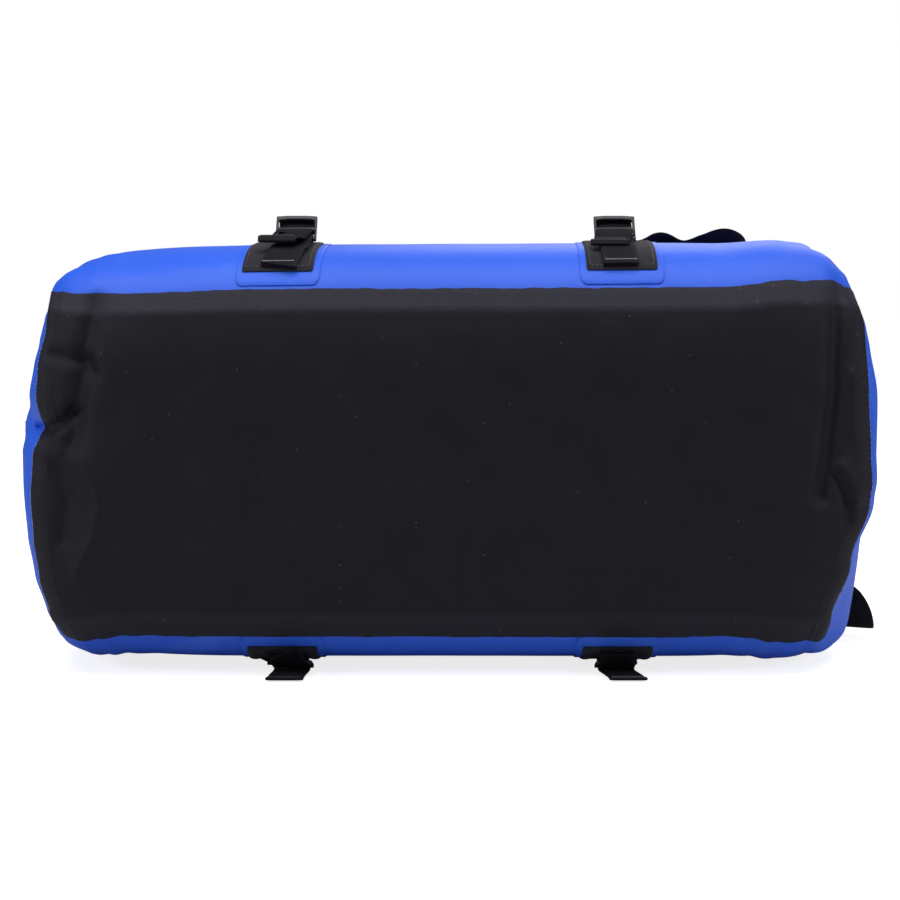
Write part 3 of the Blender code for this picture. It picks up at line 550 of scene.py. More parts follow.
def scuffs():
    """Faint rubbed patches and soft streaks on a coated surface."""
    made, start, end = group("scuffs", [("Vector", None), ("Scale", 9.0)], [("Mask", "Float"), ("Height", "Float")])
    large = made.nodes.new("ShaderNodeTexNoise")
    large.inputs["Detail"].default_value = 5.0
    large.inputs["Distortion"].default_value = 1.2
    made.links.new(start.outputs["Scale"], large.inputs["Scale"])
    made.links.new(start.outputs["Vector"], large.inputs["Vector"])
    made.links.new(ramp(made, large.outputs["Fac"], 0.56, 0.74), end.inputs["Mask"])
    made.links.new(large.outputs["Fac"], end.inputs["Height"])
    return made


GROUPS = {"weave": plain_weave(), "webbing": webbing_weave(), "lint": lint_specks(), "scuffs": scuffs()}


def placed(tree, name, vector, **values):
    """One of the shared groups, with a material's own values."""
    node = tree.nodes.new("ShaderNodeGroup")
    node.node_tree = GROUPS[name]
    tree.links.new(vector, node.inputs["Vector"])
    for label, value in values.items():
        node.inputs[label].default_value = value
    return node


def new_finish(name, roughness, sheen=0.0, specular=0.5):
    """A material with the values that are the same all over it."""
    made = bpy.data.materials.new(name)
    made.use_nodes = True
    tree = made.node_tree
    shader = tree.nodes["Principled BSDF"]
    shader.inputs["Roughness"].default_value = roughness
    shader.inputs["Sheen Weight"].default_value = sheen
    shader.inputs["Specular IOR Level"].default_value = specular
    place = tree.nodes.new("ShaderNodeTexCoord")
    return made, tree, shader, place


def bump(tree, shader, height, distance, strength, under=None):
    """Relief over the one under it. The last one feeds the shader."""
    node = tree.nodes.new("ShaderNodeBump")
    node.inputs["Strength"].default_value = strength
    node.inputs["Distance"].default_value = distance
    tree.links.new(height, node.inputs["Height"])
    if under:
        tree.links.new(under, node.inputs["Normal"])
    if shader:
        tree.links.new(node.outputs[0], shader.inputs["Normal"])
    return node.outputs[0]


def cloth_turn(tree, where):
    """Object coordinates turned so that X and Y of a pattern run along and up the cloth."""
    split = tree.nodes.new("ShaderNodeSeparateXYZ")
    tree.links.new(where, split.inputs[0])
    join = tree.nodes.new("ShaderNodeCombineXYZ")
    tree.links.new(split.outputs[0], join.inputs[0])
    tree.links.new(maths(tree, "ADD", split.outputs[1], split.outputs[2]), join.inputs[1])
    return join.outputs[0]


def blue_coated():
    made, tree, shader, place = new_finish("blue coated fabric", 0.52, specular=0.30)
    where = place.outputs["Object"]
    rubbed = placed(tree, "scuffs", where, Scale=11.0)
    tone = noise_of(tree, where, 5.0, 4.0)
    colour = mixed(tree, ramp(tree, tone, 0.3, 0.7), (0.022, 0.110, 0.74, 1), (0.028, 0.132, 0.82, 1))
    colour = marked(tree, colour, rubbed.outputs["Mask"], 0.20, (0.14, 0.30, 0.92, 1))
    grain = noise_of(tree, where, 900.0, 2.0)
    tree.links.new(colour, shader.inputs["Base Color"])
    tree.links.new(maths(tree, "MULTIPLY_ADD", rubbed.outputs["Mask"], 0.14, 0.48), shader.inputs["Roughness"])
    weave = placed(tree, "weave", cloth_turn(tree, where), Thread=0.0011)
    soft = bump(tree, None, noise_of(tree, where, 42.0, 3.0, 0.45, 0.6), 0.0012, 0.35)
    threads = bump(tree, None, weave.outputs["Height"], 0.00008, 0.30, soft)
    bump(tree, shader, grain, 0.00006, 0.35, threads)
    return made


def black_coated():
    made, tree, shader, place = new_finish("black base fabric", 0.60, specular=0.20)
    where = place.outputs["Object"]
    weld = tree.nodes.new("ShaderNodeAttribute")
    weld.attribute_name = "weld"
    weave = placed(tree, "weave", cloth_turn(tree, where), Thread=0.00125)
    lint = placed(tree, "lint", where, Size=170.0, Amount=0.055)
    small = placed(tree, "lint", where, Size=420.0, Amount=0.035)
    blotch = noise_of(tree, where, 26.0, 5.0, 0.62)
    colour = mixed(tree, ramp(tree, blotch, 0.32, 0.70), (0.0038, 0.0034, 0.0070, 1), (0.0078, 0.0068, 0.0130, 1))
    # the weave's raised threads are lightened: painted highlight
    colour = marked(tree, colour, weave.outputs["Thread Highlight"], 0.30, (0.024, 0.022, 0.031, 1))
    # The weld mask lightens the pressed band; its extra strength along the panel's upper edge is painted sheen from
    # the light above.
    colour = marked(tree, colour, weld.outputs["Fac"], 0.75, (0.030, 0.029, 0.046, 1))
    colour = marked(tree, colour, lint.outputs["Mask"], 0.30, (0.20, 0.17, 0.20, 1))
    colour = marked(tree, colour, small.outputs["Mask"], 0.22, (0.20, 0.18, 0.22, 1))
    tree.links.new(colour, shader.inputs["Base Color"])
    tree.links.new(maths(tree, "MULTIPLY_ADD", blotch, 0.20, 0.44), shader.inputs["Roughness"])
    soft = bump(tree, None, noise_of(tree, where, 30.0, 4.0, 0.5, 0.5), 0.0016, 0.30)
    threads = bump(tree, None, weave.outputs["Height"], 0.00022, 0.65, soft)
    bump(tree, shader, noise_of(tree, where, 700.0, 2.0), 0.00010, 0.40, threads)
    return made


def black_webbing_finish():
    made, tree, shader, place = new_finish("black webbing", 0.70, specular=0.18)
    uv = place.outputs["UV"]
    where = place.outputs["Object"]
    weave = placed(tree, "webbing", uv, Rib=0.0015)
    wear = noise_of(tree, where, 60.0, 4.0, 0.6)
    # the webbing is lighter where its ribs and picks stand up: painted highlight
    colour = mixed(tree, weave.outputs["Thread Highlight"], (0.00288, 0.002592, 0.0054, 1), (0.00936, 0.00864, 0.01584, 1))
    colour = marked(tree, colour, ramp(tree, wear, 0.55, 0.8), 0.35, (0.026, 0.024, 0.038, 1))
    lint = placed(tree, "lint", where, Size=260.0, Amount=0.05)
    colour = marked(tree, colour, lint.outputs["Mask"], 0.4, (0.24, 0.22, 0.26, 1))
    tree.links.new(colour, shader.inputs["Base Color"])
    threads = bump(tree, None, weave.outputs["Height"], 0.00025, 0.8)
    bump(tree, shader, wear, 0.0003, 0.4, threads)
    return made


def black_patch_finish():
    """Tightly woven packcloth, on object coordinates."""
    made, tree, shader, place = new_finish("black packcloth", 0.70, sheen=0.05, specular=0.22)
    where = place.outputs["Object"]
    weave = placed(tree, "weave", cloth_turn(tree, where), Thread=0.00085)
    tone = noise_of(tree, where, 90.0, 4.0, 0.6)
    colour = mixed(tree, ramp(tree, tone, 0.3, 0.75), (0.0080, 0.0075, 0.0120, 1), (0.0170, 0.0160, 0.0240, 1))
    # the packcloth's raised threads are lightened: painted highlight
    colour = marked(tree, colour, weave.outputs["Thread Highlight"], 0.35, (0.026, 0.025, 0.036, 1))
    lint = placed(tree, "lint", where, Size=230.0, Amount=0.06)
    colour = marked(tree, colour, lint.outputs["Mask"], 0.35, (0.25, 0.22, 0.24, 1))
    tree.links.new(colour, shader.inputs["Base Color"])
    threads = bump(tree, None, weave.outputs["Height"], 0.00022, 0.8)
    bump(tree, shader, tone, 0.0005, 0.4, threads)
    return made


def moulded_black():
    made, tree, shader, place = new_finish("moulded black plastic", 0.34, specular=0.40)
    where = place.outputs["Object"]
    grain = noise_of(tree, where, 1400.0, 2.0)
    rub = noise_of(tree, where, 70.0, 4.0, 0.6)
    colour = mixed(tree, ramp(tree, rub, 0.45, 0.8), (0.0060, 0.0058, 0.0105, 1), (0.016, 0.015, 0.025, 1))
    tree.links.new(colour, shader.inputs["Base Color"])
    tree.links.new(maths(tree, "MULTIPLY_ADD", rub, 0.22, 0.22), shader.inputs["Roughness"])
    bump(tree, shader, grain, 0.00005, 0.5)
    return made


def thread_finish(name, colour, pale):
    made, tree, shader, place = new_finish(name, 0.62, sheen=0.2)
    tone = noise_of(tree, place.outputs["Object"], 500.0, 2.0)
    tree.links.new(mixed(tree, tone, colour, pale), shader.inputs["Base Color"])
    bump(tree, shader, tone, 0.0001, 0.5)
    return made


def strip_finish():
    made, tree, shader, place = new_finish("pale stiffening strip", 0.48)
    tone = noise_of(tree, place.outputs["Object"], 24.0, 4.0)
    tree.links.new(mixed(tree, tone, (0.58, 0.58, 0.56, 1), (0.74, 0.74, 0.72, 1)), shader.inputs["Base Color"])
    bump(tree, shader, noise_of(tree, place.outputs["Object"], 600.0, 2.0), 0.00008, 0.5)
    return made


BLUE = blue_coated()
BASE = black_coated()
WEB = black_webbing_finish()
CLOTH = black_patch_finish()
PLASTIC = moulded_black()
THREAD = thread_finish("dark thread", (0.045, 0.043, 0.058, 1), (0.14, 0.13, 0.16, 1))
# Pale thread: the frayed edges' own light threads, and a painted highlight on the lock loops' bartacks.
PALE_THREAD_AND_HIGHLIGHT = thread_finish("frayed thread and painted highlight", (0.20, 0.19, 0.22, 1), (0.55, 0.52, 0.55, 1))
STRIP = strip_finish()


# Fabric panels

TOP_SEAM, LOW_SEAM = 0.1182, 0.1240  # how far the base panel's upper and lower edges are from the middle


def seam_angle(height):
    """The section's angle at a height over the middle, on the base half."""
    depth = BASE_DEPTH * (1 - (height / HALF_WIDTH) ** BASE_POWER) ** (1 / BASE_POWER)
    return math.atan2(height, depth)


def upper_edge(x):
    """The base panel's upper edge wraps further round towards the two corners."""
    height = TOP_SEAM - 0.0045 * ease((abs(x) - 0.22) / 0.067)
    return seam_angle(min(height / girth_at(x), 0.1385))


def lower_edge(x):
    return -seam_angle(min(LOW_SEAM / girth_at(x) ** 0.35, 0.1380))


def stations(count, reach):
    """Places along the bag, closer together towards its ends."""
    steps = [2 * i / count - 1 for i in range(count + 1)]
    return [reach * (0.55 * math.sin(math.pi / 2 * t) + 0.45 * t) for t in steps]


def make_base():
    """The black panel, with the pressed weld band inside its edges and a slightly ragged cut edge. The band is
    lightened fully along the upper edge and only faintly along the lower one, which is painted sheen from the light
    above.
    """
    rows, columns = 240, 120
    weld_band, end_band = 0.0135, 0.0115
    close = [0.0, 0.006, 0.020, 0.045, 0.060, 0.068, 0.076]  # shares of the panel's girth, for the weld band
    steps = columns - 2 * (len(close) - 1)
    shares = close + [0.076 + (1 - 0.152) * k / steps for k in range(1, steps)] + [1 - t for t in reversed(close)]
    outer, inner, uv, masks = [], [], [], []
    for x in stations(rows, SEAM_X):
        rows_out, rows_in, row_uv, row_mask = [], [], [], []
        for share in shares:
            ragged = 0.0008 * noise.noise(Vector((x * 95.0, share * 3.0, 7.0)))
            ragged += 0.0011 * noise.noise(Vector((x * 18.0, share * 2.0, 2.0)))
            low = lower_edge(x) + ragged * 6.0 * (1 - share) ** 6
            high = upper_edge(x) + ragged * 6.0 * share**6
            angle = low + (high - low) * share
            jag = noise.noise(Vector((angle * 60.0, 1.0 if x > 0 else 5.0, 1.0))) * ease((abs(x) - 0.26) / 0.027)
            spot = x + math.copysign(0.0007, x) * jag
            from_edge = min(share, 1 - share) * (high - low) * CLOTH_RADIUS
            from_end = SEAM_X - abs(x)
            lift = 0.0012 + swell(from_edge, weld_band, 0.0011) * 0.0009 + swell(from_end, end_band, 0.0011) * 0.00045
            rows_out.append(tube_point(spot, angle, lift + 0.0003 * ease((weld_band - from_edge) / 0.001)))
            rows_in.append(tube_point(spot, angle, -0.0002))
            row_uv.append((x, angle * CLOTH_RADIUS))
            # Painted sheen: the weld band is lightened fully along the upper edge, which faces the light above, and
            # only at 0.35 along the lower edge.
            pressed_and_lit = ease((weld_band - from_edge) / 0.0016) * (1.0 if share > 0.5 else 0.35)
            along_weld = 0.6 * swell(from_edge, weld_band + 0.0003, 0.0014)
            row_mask.append(max(pressed_and_lit, along_weld, 0.30 * ease((0.009 - from_end) / 0.003)))
        outer.append(rows_out)
        inner.append(rows_in)
        uv.append(row_uv)
        masks.append(row_mask)
    base = shell("base_fabric", outer, inner, BASE, "black_base", "bag", ("base_panel",), uv, masks)


def make_side(name, node, from_angle, to_angle):
    """A blue long panel, its edge tucked under the base fabric."""
    rows, columns = 150, 80
    xs = stations(rows, SEAM_X)
    angles = [from_angle + (to_angle - from_angle) * j / columns for j in range(columns + 1)]
    outer, inner = ([[tube_point(x, angle, offset) for angle in angles] for x in xs] for offset in (0.0, -0.0012))
    uv = [[(x, angle * CLOTH_RADIUS) for angle in angles] for x in xs]
    made = shell(name, outer, inner, BLUE, "blue_tarpaulin", "bag", (node,), uv)


def make_end(name, node, side):
    """A domed end, its rim tucked under the long panels."""
    spokes, rings = 160, 44
    bm = bmesh.new()
    rim = girth_at(SEAM_X - 0.007)
    layers = []
    for offset in (-0.0004, -0.0016):
        layer = []
        for i in range(rings):
            girth = rim * (1 - i / rings) ** 0.9
            lift = offset + 0.0004 * ease((0.97 * rim - girth) / (0.07 * rim))
            layer.append([bm.verts.new(end_point(girth, 2 * math.pi * j / spokes, side, lift)) for j in range(spokes)])
        centre = bm.verts.new(end_point(0, 0.1, side, offset + 0.0004))
        for near, far in zip(layer, layer[1:]):
            for j in range(spokes):
                bm.faces.new((near[j - 1], near[j], far[j], far[j - 1]))
        for j in range(spokes):
            bm.faces.new((layer[-1][j - 1], layer[-1][j], centre))
        layers.append(layer[0])
    for j in range(spokes):
        bm.faces.new((layers[0][j - 1], layers[0][j], layers[1][j], layers[1][j - 1]))
    made = finished(name, bm, BLUE, "bag", (node,))


def make_panels():
    neck = math.atan2(NECK_HALF, -(NECK_Y - WIDEST_Y))
    tuck = 0.05  # how far round the base fabric covers each side's edge
    make_base()
    make_side("front_fabric", "front_panel", seam_angle(TOP_SEAM) - tuck, neck)
    make_side("back_fabric", "back_panel", -neck, -seam_angle(LOW_SEAM) + tuck)
    make_end("end_fabric_left", "end_panel_left", -1)
    make_end("end_fabric_right", "end_panel_right", 1)


# Strap anchors


def rounded_patch(node, ending, middle_x, width, from_y, to_y, low, high, facing, finish, slot, corner, lean, hem=0.0):
    """A patch with rounded corners that lies on the bag's front or back, between two heights over it."""
    count = 26
    grids, uv = [[], []], []
    length = abs(to_y - from_y)
    for i in range(count + 1):
        t = 0.5 - 0.5 * math.cos(math.pi * i / count)
        y = from_y + (to_y - from_y) * t
        end_gap = min(t, 1 - t) * length
        half = width / 2 - (corner - math.sqrt(max(corner**2 - (corner - min(end_gap, corner)) ** 2, 0.0)))
        angle = facing * side_angle(y)
        rows, row_uv = ([], []), []
        for j in range(count + 1):
            u = -math.cos(math.pi * j / count)
            x = middle_x + u * half + lean * (y - from_y)
            edge = min(half * (1 - abs(u)), end_gap)
            lift = hem * hemmed(edge, 0.0035, 0.0035)
            rows[0].append(tube_point(x, angle, high + lift - 0.0003 * ease((0.0008 - edge) / 0.0008)))
            rows[1].append(tube_point(x, angle, low))
            row_uv.append((x, y))
        grids[0].append(rows[0])
        grids[1].append(rows[1])
        uv.append(row_uv)
    shell(node + ending, *grids, finish, slot, "bag", (node,), uv)


TABS = {  # (facing, end): (x of the anchor, x of the lock)
    (1, "left"): (-0.1195, -0.1096),
    (1, "right"): (0.1190, 0.1175),
    (-1, "left"): (-0.1190, -0.1130),
    (-1, "right"): (0.1190, 0.1190),
}
BARS = {1: (FRONT_BAR_Y, FRONT_BAR_Z), -1: (BACK_BAR_Y, BACK_BAR_Z)}
LOCK_TILT = {1: math.radians(41), -1: math.radians(15)}


def lock_frame(facing, end):
    """The place and axes of a lock: the middle of its looped bar, then across, along and off its face."""
    tilt = LOCK_TILT[facing]
    origin = Vector((TABS[facing, end][1], *BARS[facing]))
    along = Vector((0, math.cos(tilt), facing * math.sin(tilt)))
    off = Vector((0, -math.sin(tilt), facing * math.cos(tilt)))
    return origin, Vector((1, 0, 0)), along, off


def copies_joined(whole, part, places):
    """Joins a copy of part, with its own mesh, to whole at each place, and leaves whole selected."""
    for place in places:
        copy = bpy.data.objects.new("copy", part.data.copy())
        copy.data.transform(Matrix.Translation(place))
        bpy.context.scene.collection.objects.link(copy)
        bpy.ops.object.select_all(action="DESELECT")
        copy.select_set(True)
        whole.select_set(True)
        bpy.context.view_layer.objects.active = whole
        bpy.ops.object.join()
    bpy.data.objects.remove(part)


def model_lock():
    """A ladder lock at the origin: a frame with two slots, a raised end bar and a toothed middle bar."""
    bpy.ops.object.select_all(action="DESELECT")
    half, inner = 0.0146, 0.0128
    xs = [-half, -inner, -0.0064, 0.0, 0.0064, inner, half]
    ys = [-0.0017, 0.0017, 0.0090, 0.0118, 0.0190, 0.0228]
    bpy.ops.mesh.primitive_grid_add(x_subdivisions=6, y_subdivisions=5, size=2)
    lock = bpy.context.active_object
    for vertex in lock.data.vertices:
        column, row = round((vertex.co.x + 1) * 3), round((vertex.co.y + 1) * 2.5)
        vertex.co = (xs[column], ys[row], 0.0)
    bpy.ops.object.mode_set(mode="EDIT")
    bpy.ops.mesh.select_mode(type="FACE")
    bpy.ops.mesh.select_all(action="DESELECT")
    bpy.ops.object.mode_set(mode="OBJECT")
    for face in lock.data.polygons:
        x, y = face.center.x, face.center.y
        face.select = abs(x) < inner and (0.0017 < y < 0.0090 or 0.0118 < y < 0.0190)
    bpy.ops.object.mode_set(mode="EDIT")
    bpy.ops.mesh.delete(type="FACE")
    bpy.ops.object.mode_set(mode="OBJECT")
    thick = lock.modifiers.new("thickness", "SOLIDIFY")
    thick.thickness = 0.0032
    thick.offset = 0.0
    bpy.ops.object.modifier_apply(modifier="thickness")
    for vertex in lock.data.vertices:  # the end bar stands up, and the middle bar is thinner
        x, y, z = vertex.co
        if y > 0.0185:
            vertex.co.z += 0.0006 + (0.0005 if y > 0.021 else 0.0)
            vertex.co.y -= 0.0006 * (abs(x) > 0.0125)
        elif 0.0085 < y < 0.0120:
            vertex.co.z *= 0.75
    edges = lock.modifiers.new("edges", "BEVEL")
    edges.width = 0.0009
    edges.segments = 3
    edges.limit_method = "ANGLE"
    bpy.ops.object.modifier_apply(modifier="edges")
    bpy.ops.object.select_all(action="DESELECT")
    bpy.ops.mesh.primitive_cylinder_add(
        vertices=10, radius=0.0007, depth=0.0024, location=(0, 0.0103, -0.0010), rotation=(0, math.pi / 2, 0)
    )
    tooth = bpy.context.active_object
    bpy.ops.object.transform_apply(location=True, rotation=True, scale=True)
    rim = tooth.modifiers.new("rim", "BEVEL")
    rim.width = 0.0003
    rim.segments = 2
    bpy.ops.object.modifier_apply(modifier="rim")
    copies_joined(lock, tooth, [Vector((-0.0108 + 0.0036 * k, 0, 0)) for k in range(7)])  # the teeth
    bpy.ops.object.shade_smooth_by_angle(angle=math.radians(38))
    lock.data.materials.append(PLASTIC)
    mesh = lock.data
    bpy.data.objects.remove(lock)
    return mesh


def make_lock(name, facing, end, model):
    """A copy of the lock, set on its webbing loop."""
    lock = bpy.data.objects.new(name + "_moulded", model.copy())
    lock.data.name = lock.name
    bpy.context.scene.collection.objects.link(lock)
    origin, across, along, off = lock_frame(facing, end)
    lock.data.transform(Matrix.Translation(origin) @ Matrix((across, along, off)).transposed().to_4x4())
    if facing < 0:  # its axes are mirrored
        lock.data.flip_normals()
    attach(lock, "front_strap" if facing > 0 else "back_strap")
    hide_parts(name)


def slanted(facing, end, points):
    """Points (y, lift) over the bag, with x running from the anchor to the lock's own x."""
    anchor_x, lock_x = TABS[facing, end]
    start_y = -0.125
    made = []
    for y, lift in points:
        t = min(max((y - start_y) / (BARS[facing][0] - start_y), 0.0), 1.2)
        made.append(tube_point(anchor_x + (lock_x - anchor_x) * t, facing * side_angle(y), lift))
    return made


def make_tab(facing, end, model):
    """Weld patch, sewn patch, loop of webbing, lock and tail for one anchor, with the loop's and patch's stitches on a
    front anchor.
    """
    front = facing > 0
    side = "front" if front else "back"
    tag = f"{side}_{end}"
    x = 0.119 if end == "right" else -0.119
    if front:
        x += 0.0008 if end == "right" else -0.0012
    lean = 0.07 if tag == "front_left" else 0.0
    rounded_patch(
        f"weld_patch_{tag}", "_skin", x, 0.0585, -0.1368 if front else -0.1345, -0.061, 0.0002, 0.0009,
        facing, BLUE, "blue_tarpaulin", 0.0045, lean,
    )
    rounded_patch(
        f"strap_patch_{tag}", "_cloth", x, 0.0495, -0.1298 if front else -0.1275, -0.068, 0.0011, 0.0020,
        facing, CLOTH, "black_webbing", 0.0018, lean, hem=0.0005,
    )
    origin, across, along, off = lock_frame(facing, end)
    bar_y = BARS[facing][0]
    low = 0.0031  # height of the loop's lower layer over the bag
    under = [(-0.1284, low), (-0.1200, low)] if front else [(-0.1262, low), (-0.1245, low)]
    points = slanted(facing, end, [*under, (bar_y - 0.006, low + 0.0002)])
    ahead = Vector((0, along.y, 0)).normalized()
    radius, rise = 0.0030, UP * facing
    for turn in range(-70, 131, 25):  # round the bar
        a = math.radians(turn)
        points.append(origin + radius * (ahead * math.cos(a) + rise * math.sin(a)))
    if front:
        over = [(bar_y - 0.0062, low + 0.0018), (bar_y - 0.0150, low + 0.0016), (-0.1283, low + 0.0016)]
    else:
        over = [(bar_y - 0.0050, low + 0.0024), (bar_y - 0.0072, low + 0.0020)]
    points += slanted(facing, end, over)
    path = [Vector(p) for p in smooth_path([tuple(p) for p in points], 4)]
    band(f"lock_loop_{tag}_webbing", path, [across] * len(path), "bag", (f"lock_loop_{tag}",))
    make_lock(f"ladder_lock_{tag}", facing, end, model)
    if front:
        normal, middle, half = Vector((0, -0.3, 1)), TABS[facing, end][0], 0.0222
        row = [tube_point(middle + 0.0112 * (2 * k / 10 - 1), side_angle(-0.1262), low + 0.0026) for k in range(11)]
        loop_rows = seam_rows(row, normal, pitch=0.0017, gap=0.0001, zigzag=0.0007)
        patch_rows = []
        for edge in (-half, half):
            steps = [0.054 * k / 12 for k in range(13)]
            line = [tube_point(x + edge + lean * step, side_angle(-0.1268 + step), 0.0024) for step in steps]
            patch_rows += seam_rows(line, normal, pitch=0.0030, gap=0.0009)
        line = [tube_point(x - half + 2 * half * k / 12, side_angle(-0.1272), 0.0024) for k in range(13)]
        patch_rows += seam_rows(line, Vector((0, -0.4, 1)), pitch=0.0030, gap=0.0009)
        # The bartack is sewn in the pale thread. Its light grey is partly the thread's colour and partly painted
        # highlight.
        stitching(f"anchor_stitches_{tag}", loop_rows, "bag", PALE_THREAD_AND_HIGHLIGHT, 0.00055)
        stitching(f"patch_stitches_{tag}", patch_rows, "bag", THREAD)
    make_tail(facing, end, tag)


def make_tail(facing, end, tag):
    """The free end of a strap with its folded hem."""
    origin, across, along, off = lock_frame(facing, end)
    front = facing > 0

    def local(distance, height):
        return origin + along * distance + off * height

    if front:
        tip_y, tip_z, aside = (-0.0185, -0.0006, -0.0122) if end == "left" else (-0.0180, -0.0028, -0.0052)
        tip, skew = origin + Vector((0, tip_y, tip_z)), Vector((aside, 0, 0))
        points = [
            tip + skew,
            tip + skew * 0.78 + Vector((0, 0.0050, 0.0018)),
            local(-0.0056, 0.0054) + skew * 0.48,
            local(0.0004, 0.0050) + skew * 0.20,
            local(0.0054, 0.0036) + skew * 0.04,
            local(0.0084, 0.0014),
            local(0.0094, -0.0014),
        ]
    else:
        lean = 0.006 if end == "right" else -0.003
        points = [
            Vector((origin.x + lean, -0.1502, 0.0024)),
            Vector((origin.x + lean * 0.9, -0.1440, 0.0020)),
            Vector((origin.x + lean * 0.5, -0.1340, 0.0024)),
            local(0.0010, 0.0056),
            local(0.0075, 0.0034),
            local(0.0115, 0.0026),
            local(0.0145, 0.0008),
        ]
    path = [Vector(p) for p in smooth_path([tuple(p) for p in points], 6)]
    tail = band(f"strap_tail_{tag}_webbing", path, [across] * len(path), width=0.0262, sheared=True)
    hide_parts(f"strap_tail_{tag}")
    outward = (path[0] - path[3]).normalized()
    if front:
        outward = Vector((0, outward.y, outward.z)).normalized()
    round_hem = []
    for turn in range(0, 360, 24):
        a = math.radians(turn)
        rise = 0.0016 * math.sin(a) - 0.0006 if front else 0.0016 * math.sin(a) * 0.45
        round_hem.append(path[0] + outward * (-0.0030 + 0.0034 * math.cos(a)) + UP * rise)
    across_hem = [across] * len(round_hem)
    hem = band(f"tail_hem_{tag}", round_hem, across_hem, width=0.0264, thickness=0.0012, sheared=True)
    rows = []
    for back in (0.0012, 0.0045) if end == "right" else (0.0035,):
        middle = path[0] - outward * back + UP * 0.0018 * (1 if front else 0.6)
        line = [middle + across * (0.0115 * (2 * k / 8 - 1)) for k in range(9)]
        rows += seam_rows(line, Vector((0, -0.2, 1)), pitch=0.0019, gap=0.0002, zigzag=0.0004)
    stitches = stitching(f"tail_stitches_{tag}", rows, None, THREAD)
    for piece in (tail, hem, stitches):
        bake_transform(piece)


# Carry straps and their grips


def tangents(centres):
    last = len(centres) - 1
    return [(centres[min(i + 1, last)] - centres[max(i - 1, 0)]).normalized() for i in range(last + 1)]


def squared(wide, tangent):
    """The width direction, square to the webbing's run."""
    return (wide - wide.dot(tangent) * tangent).normalized()


def strap_band(name, route, body, node):
    """A carry strap through (x, y, z, width direction)."""
    path = smooth_path(route, 7)
    centres = [Vector(p[:3]) for p in path]
    across = [squared(Vector(p[3:]).normalized(), tangent) for p, tangent in zip(path, tangents(centres))]
    band(name, centres, across, body, (node,), width=0.0255)


def front_route(end):
    """(x, y, z, width direction) from the right or left lock to the middle of the grip."""
    side = 1 if end == "right" else -1
    origin, across, along, off = lock_frame(1, end)

    arch = 0.0042 if end == "left" else 0.0006  # how far the strap stands out past the lock
    from_lock = (
        (0.0112, -0.0036), (0.0150, -0.0028), (0.0190, -0.0027), (0.0225 + arch * 0.5, -0.0028),
        (0.0250 + arch, -0.0044), (0.0262 + arch, -0.0075), (0.0240 + arch * 0.6, -0.0110),
    )
    points = [(*(origin + along * distance + off * height), *across) for distance, height in from_lock]
    if end == "right":
        over = [  # x, y, lift, tilt about the strap's run, and heading, in degrees
            (0.1180, -0.0560, 0.0036, 0, 90),
            (0.1190, -0.0420, 0.0018, 0, 90),
            (0.1200, -0.0240, 0.0014, 0, 86),
            (0.1250, -0.0040, 0.0014, 0, 70),
            (0.1380, 0.0160, 0.0016, 8, 46),
            (0.1590, 0.0290, 0.0030, 42, 24),
            (0.1770, 0.0330, 0.0020, 14, 8),
            (0.1940, 0.0350, 0.0062, 22, 10),
            (0.2090, 0.0380, 0.0098, 34, 20),
            (0.2190, 0.0480, 0.0074, 26, 90),
            (0.2060, 0.0600, 0.0040, 8, 160),
            (0.1640, 0.0620, 0.0030, 0, 178),
            (0.1100, 0.0560, 0.0040, 0, 180),
            (0.0750, 0.0580, 0.0050, 0, 180),
            (0.0350, 0.0580, 0.0050, 0, 180),
            (0.0, 0.0580, 0.0050, 0, 180),
        ]
    else:
        over = [
            (0.1145, -0.0600, 0.0048, 0, 90),
            (0.1150, -0.0460, 0.0018, 0, 90),
            (0.1160, -0.0240, 0.0014, 0, 88),
            (0.1180, 0.0000, 0.0014, -2, 84),
            (0.1260, 0.0240, 0.0016, -4, 70),
            (0.1420, 0.0440, 0.0024, -4, 80),
            (0.1400, 0.0600, 0.0026, 0, 140),
            (0.1050, 0.0560, 0.0040, 0, 180),
            (0.0750, 0.0580, 0.0050, 0, 180),
            (0.0350, 0.0580, 0.0050, 0, 180),
            (0.0, 0.0580, 0.0050, 0, 180),
        ]
    for x, y, lift, tilt, heading in over:
        x *= side
        here = on_side(x, y, lift)
        fall = (on_side(x, y + 0.004, lift) - on_side(x, y - 0.004, lift)).normalized()
        slope = (on_side(x + 0.004, y, lift) - on_side(x - 0.004, y, lift)).normalized()
        up = slope.cross(fall).normalized()
        run = slope * (side * math.cos(math.radians(heading))) + fall * math.sin(math.radians(heading))
        wide = run.cross(up).normalized() * side
        wide = Matrix.Rotation(math.radians(-tilt) * side, 3, run) @ wide
        points.append((*here, *wide))
    return points


def make_front_strap():
    right, left = front_route("right"), front_route("left")
    back = left[-2::-1]
    flip = 1 if Vector(back[0][3:]).dot(Vector(right[-1][3:])) > 0 else -1
    route = right + [(*p[:3], *(Vector(p[3:]) * flip)) for p in back]
    strap_band("carry_strap_front_webbing", route, "front_strap", "carry_strap_front")


